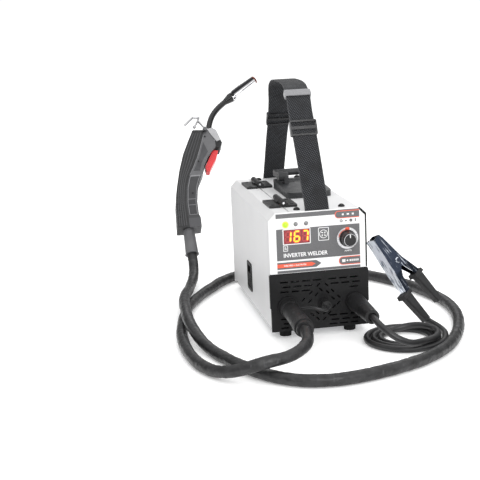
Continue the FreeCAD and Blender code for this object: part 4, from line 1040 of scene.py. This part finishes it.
def both_sides(outline, height, side=TORCH_SIDE):
    """The same raised outline on both sides of the torch."""
    return [prism(outline, side, side + height, torch_at), prism(outline, -side - height, -side, torch_at)]


def nozzle_at(run, spin, radius):
    """Point round the nozzle, from its seat along its axis."""
    out = 8.5 + run
    u = 95.0 + 0.8 * out - 0.6 * radius * cos(spin)
    w = 290.5 + 0.6 * out + 0.8 * radius * cos(spin)
    return torch_at(u, w, radius * sin(spin))


def torch_ribs():
    """Ridges along the grip's sides and along its back."""
    ribs = []
    for share in (0.16, 0.36, 0.56, 0.76):
        ribs += both_sides(strip(SHELL_BACK, SHELL_SEAM, share, 1.5, 46, 222), 0.6, GRIP_SIDE)
    ridge = [(u - 0.8, w) for u, w in SHELL_BACK] + [(u + 0.6, w) for u, w in reversed(SHELL_BACK)]
    for i in range(-3, 4):
        ribs.append(prism(ridge, 3.5 * i - 0.75, 3.5 * i + 0.75, torch_at))
    return ribs


def torch_edges(left, right):
    """Fine raised lines round the lower insets, across them, and up the seam."""
    edges = both_sides(band(left, 0.9), 0.5) + both_sides(band(right, 0.9), 0.5)
    for w in (66, 84, 95):
        a, b = across_at(SHELL_SEAM, w) + 3.2, across_at(GRIP_FRONT, w) - 2.4
        edges += both_sides(rect(a, w - 0.4, b, w + 0.4), 0.5)
    edges += both_sides([(13.2, 137.6), (30.4, 137.6), (31.4, 140.0), (15.0, 140.0)], 0.4)
    return edges + both_sides(strip(SHELL_SEAM, GRIP_FRONT, 0.04, 0.9, 142, 218), 0.5)


def nozzle_holes():
    """Eight round holes in the nozzle near its seat, drawn as dark discs on its wall."""
    radius, seat, wall, count, steps = 2.4, 8.0, 7.6, 8, 14
    holes = []
    for i in range(count):
        outline = []
        for k in range(steps):
            turn = 2 * pi * k / steps
            spin = 2 * pi * i / count + 0.3 + 1.7 * sin(turn) / wall
            outline.append((seat + radius * cos(turn), spin))
        holes.append(prism(outline, wall - 0.1, wall + 0.25, nozzle_at))
    return holes


def torch_details(m):
    """Ribs, insets, edge lines, screws, nozzle holes and top pads of the torch."""
    # The ribs wear a lighter grey than the grip, a painted highlight on the ridges.
    detail("TorchRibs", torch_ribs(), m["grip_rib_highlight"], "grip_black")
    left = beside(SHELL_SEAM, 3.2, range(66, 140, 6))
    right = beside(GRIP_FRONT, -2.4, range(66, 140, 6))
    detail("TorchLowerInsets", both_sides(left + right[::-1], 0.3), m["torch_inset_low"], "torch_grey")
    detail("TorchEdgeLines", torch_edges(left, right), m["torch_edge_line"], "torch_grey")
    upper = beside(SHELL_SEAM, 4.0, range(149, 206, 6)) + beside(GRIP_FRONT, -6.0, range(184, 145, -6))
    detail("TorchInsets", both_sides(upper, 0.35), m["torch_inset"], "torch_grey")
    heads = []
    for u, w in ((13.6, 106), (31, 166), (48, 214)):
        heads += both_sides(disc(u, w, 1.5, 16), 0.7, TORCH_SIDE + 0.2)
    detail("TorchScrews", heads, m["screw_black"], "screw_black")
    detail("NozzleHoles", nozzle_holes(), m["screw_black"], "screw_black")
    pad = [(53.6, 229.4), (62.9, 231), (68.2, 226.6), (74.2, 206.5), (66.8, 203.5), (58.6, 218)]
    detail("TorchTopPads", both_sides(pad, 1.4, TORCH_SIDE - 1), m["torch_top_grey"], "torch_grey")


def clamp_details(m):
    """Torsion spring round the clamp's rivet, between the cheeks; one leg moves with the jaw."""
    def at(x, y, z):
        return tuple(CLAMP_RIVET + CLAMP_ALONG * x + CLAMP_LIFT * y + CLAMP_ACROSS * z)

    wire, radius, half = 0.0017, 4.6, 4.6
    turns, count = 4.25, 59
    route = [at(26, -14.0, -half), at(12, -7.6, -half)]
    for i in range(count + 1):
        a = -pi / 2 - 2 * pi * turns * i / count
        route.append(at(radius * cos(a), radius * sin(a), -half + 2 * half * i / count))
    far_leg = [route[-1], at(12, 6.2, half), at(27, 13.6, 4.0)]
    spring = route_curve("ClampSpring", route, wire, m["spring_steel"])
    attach(spring, "root")
    leg = route_curve("ClampSpringLeg", far_leg, wire, m["spring_steel"])
    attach(leg, "clamp_jaw")


# ---------- build
# Blender adds a number to a name that the frame's own materials already use.
materials = {row[0].name.split(".")[0]: row[0] for row in finishes}
bpy.context.scene.view_settings.view_transform = "Standard"
add_camera()
add_studio()
cords(materials)
paint_nodes()
strap(materials)
panel_print(materials)
display(materials)
bezel_trim(materials)
knob_details(materials)
torch_details(materials)
clamp_details(materials)

bpy.context.view_layer.update()
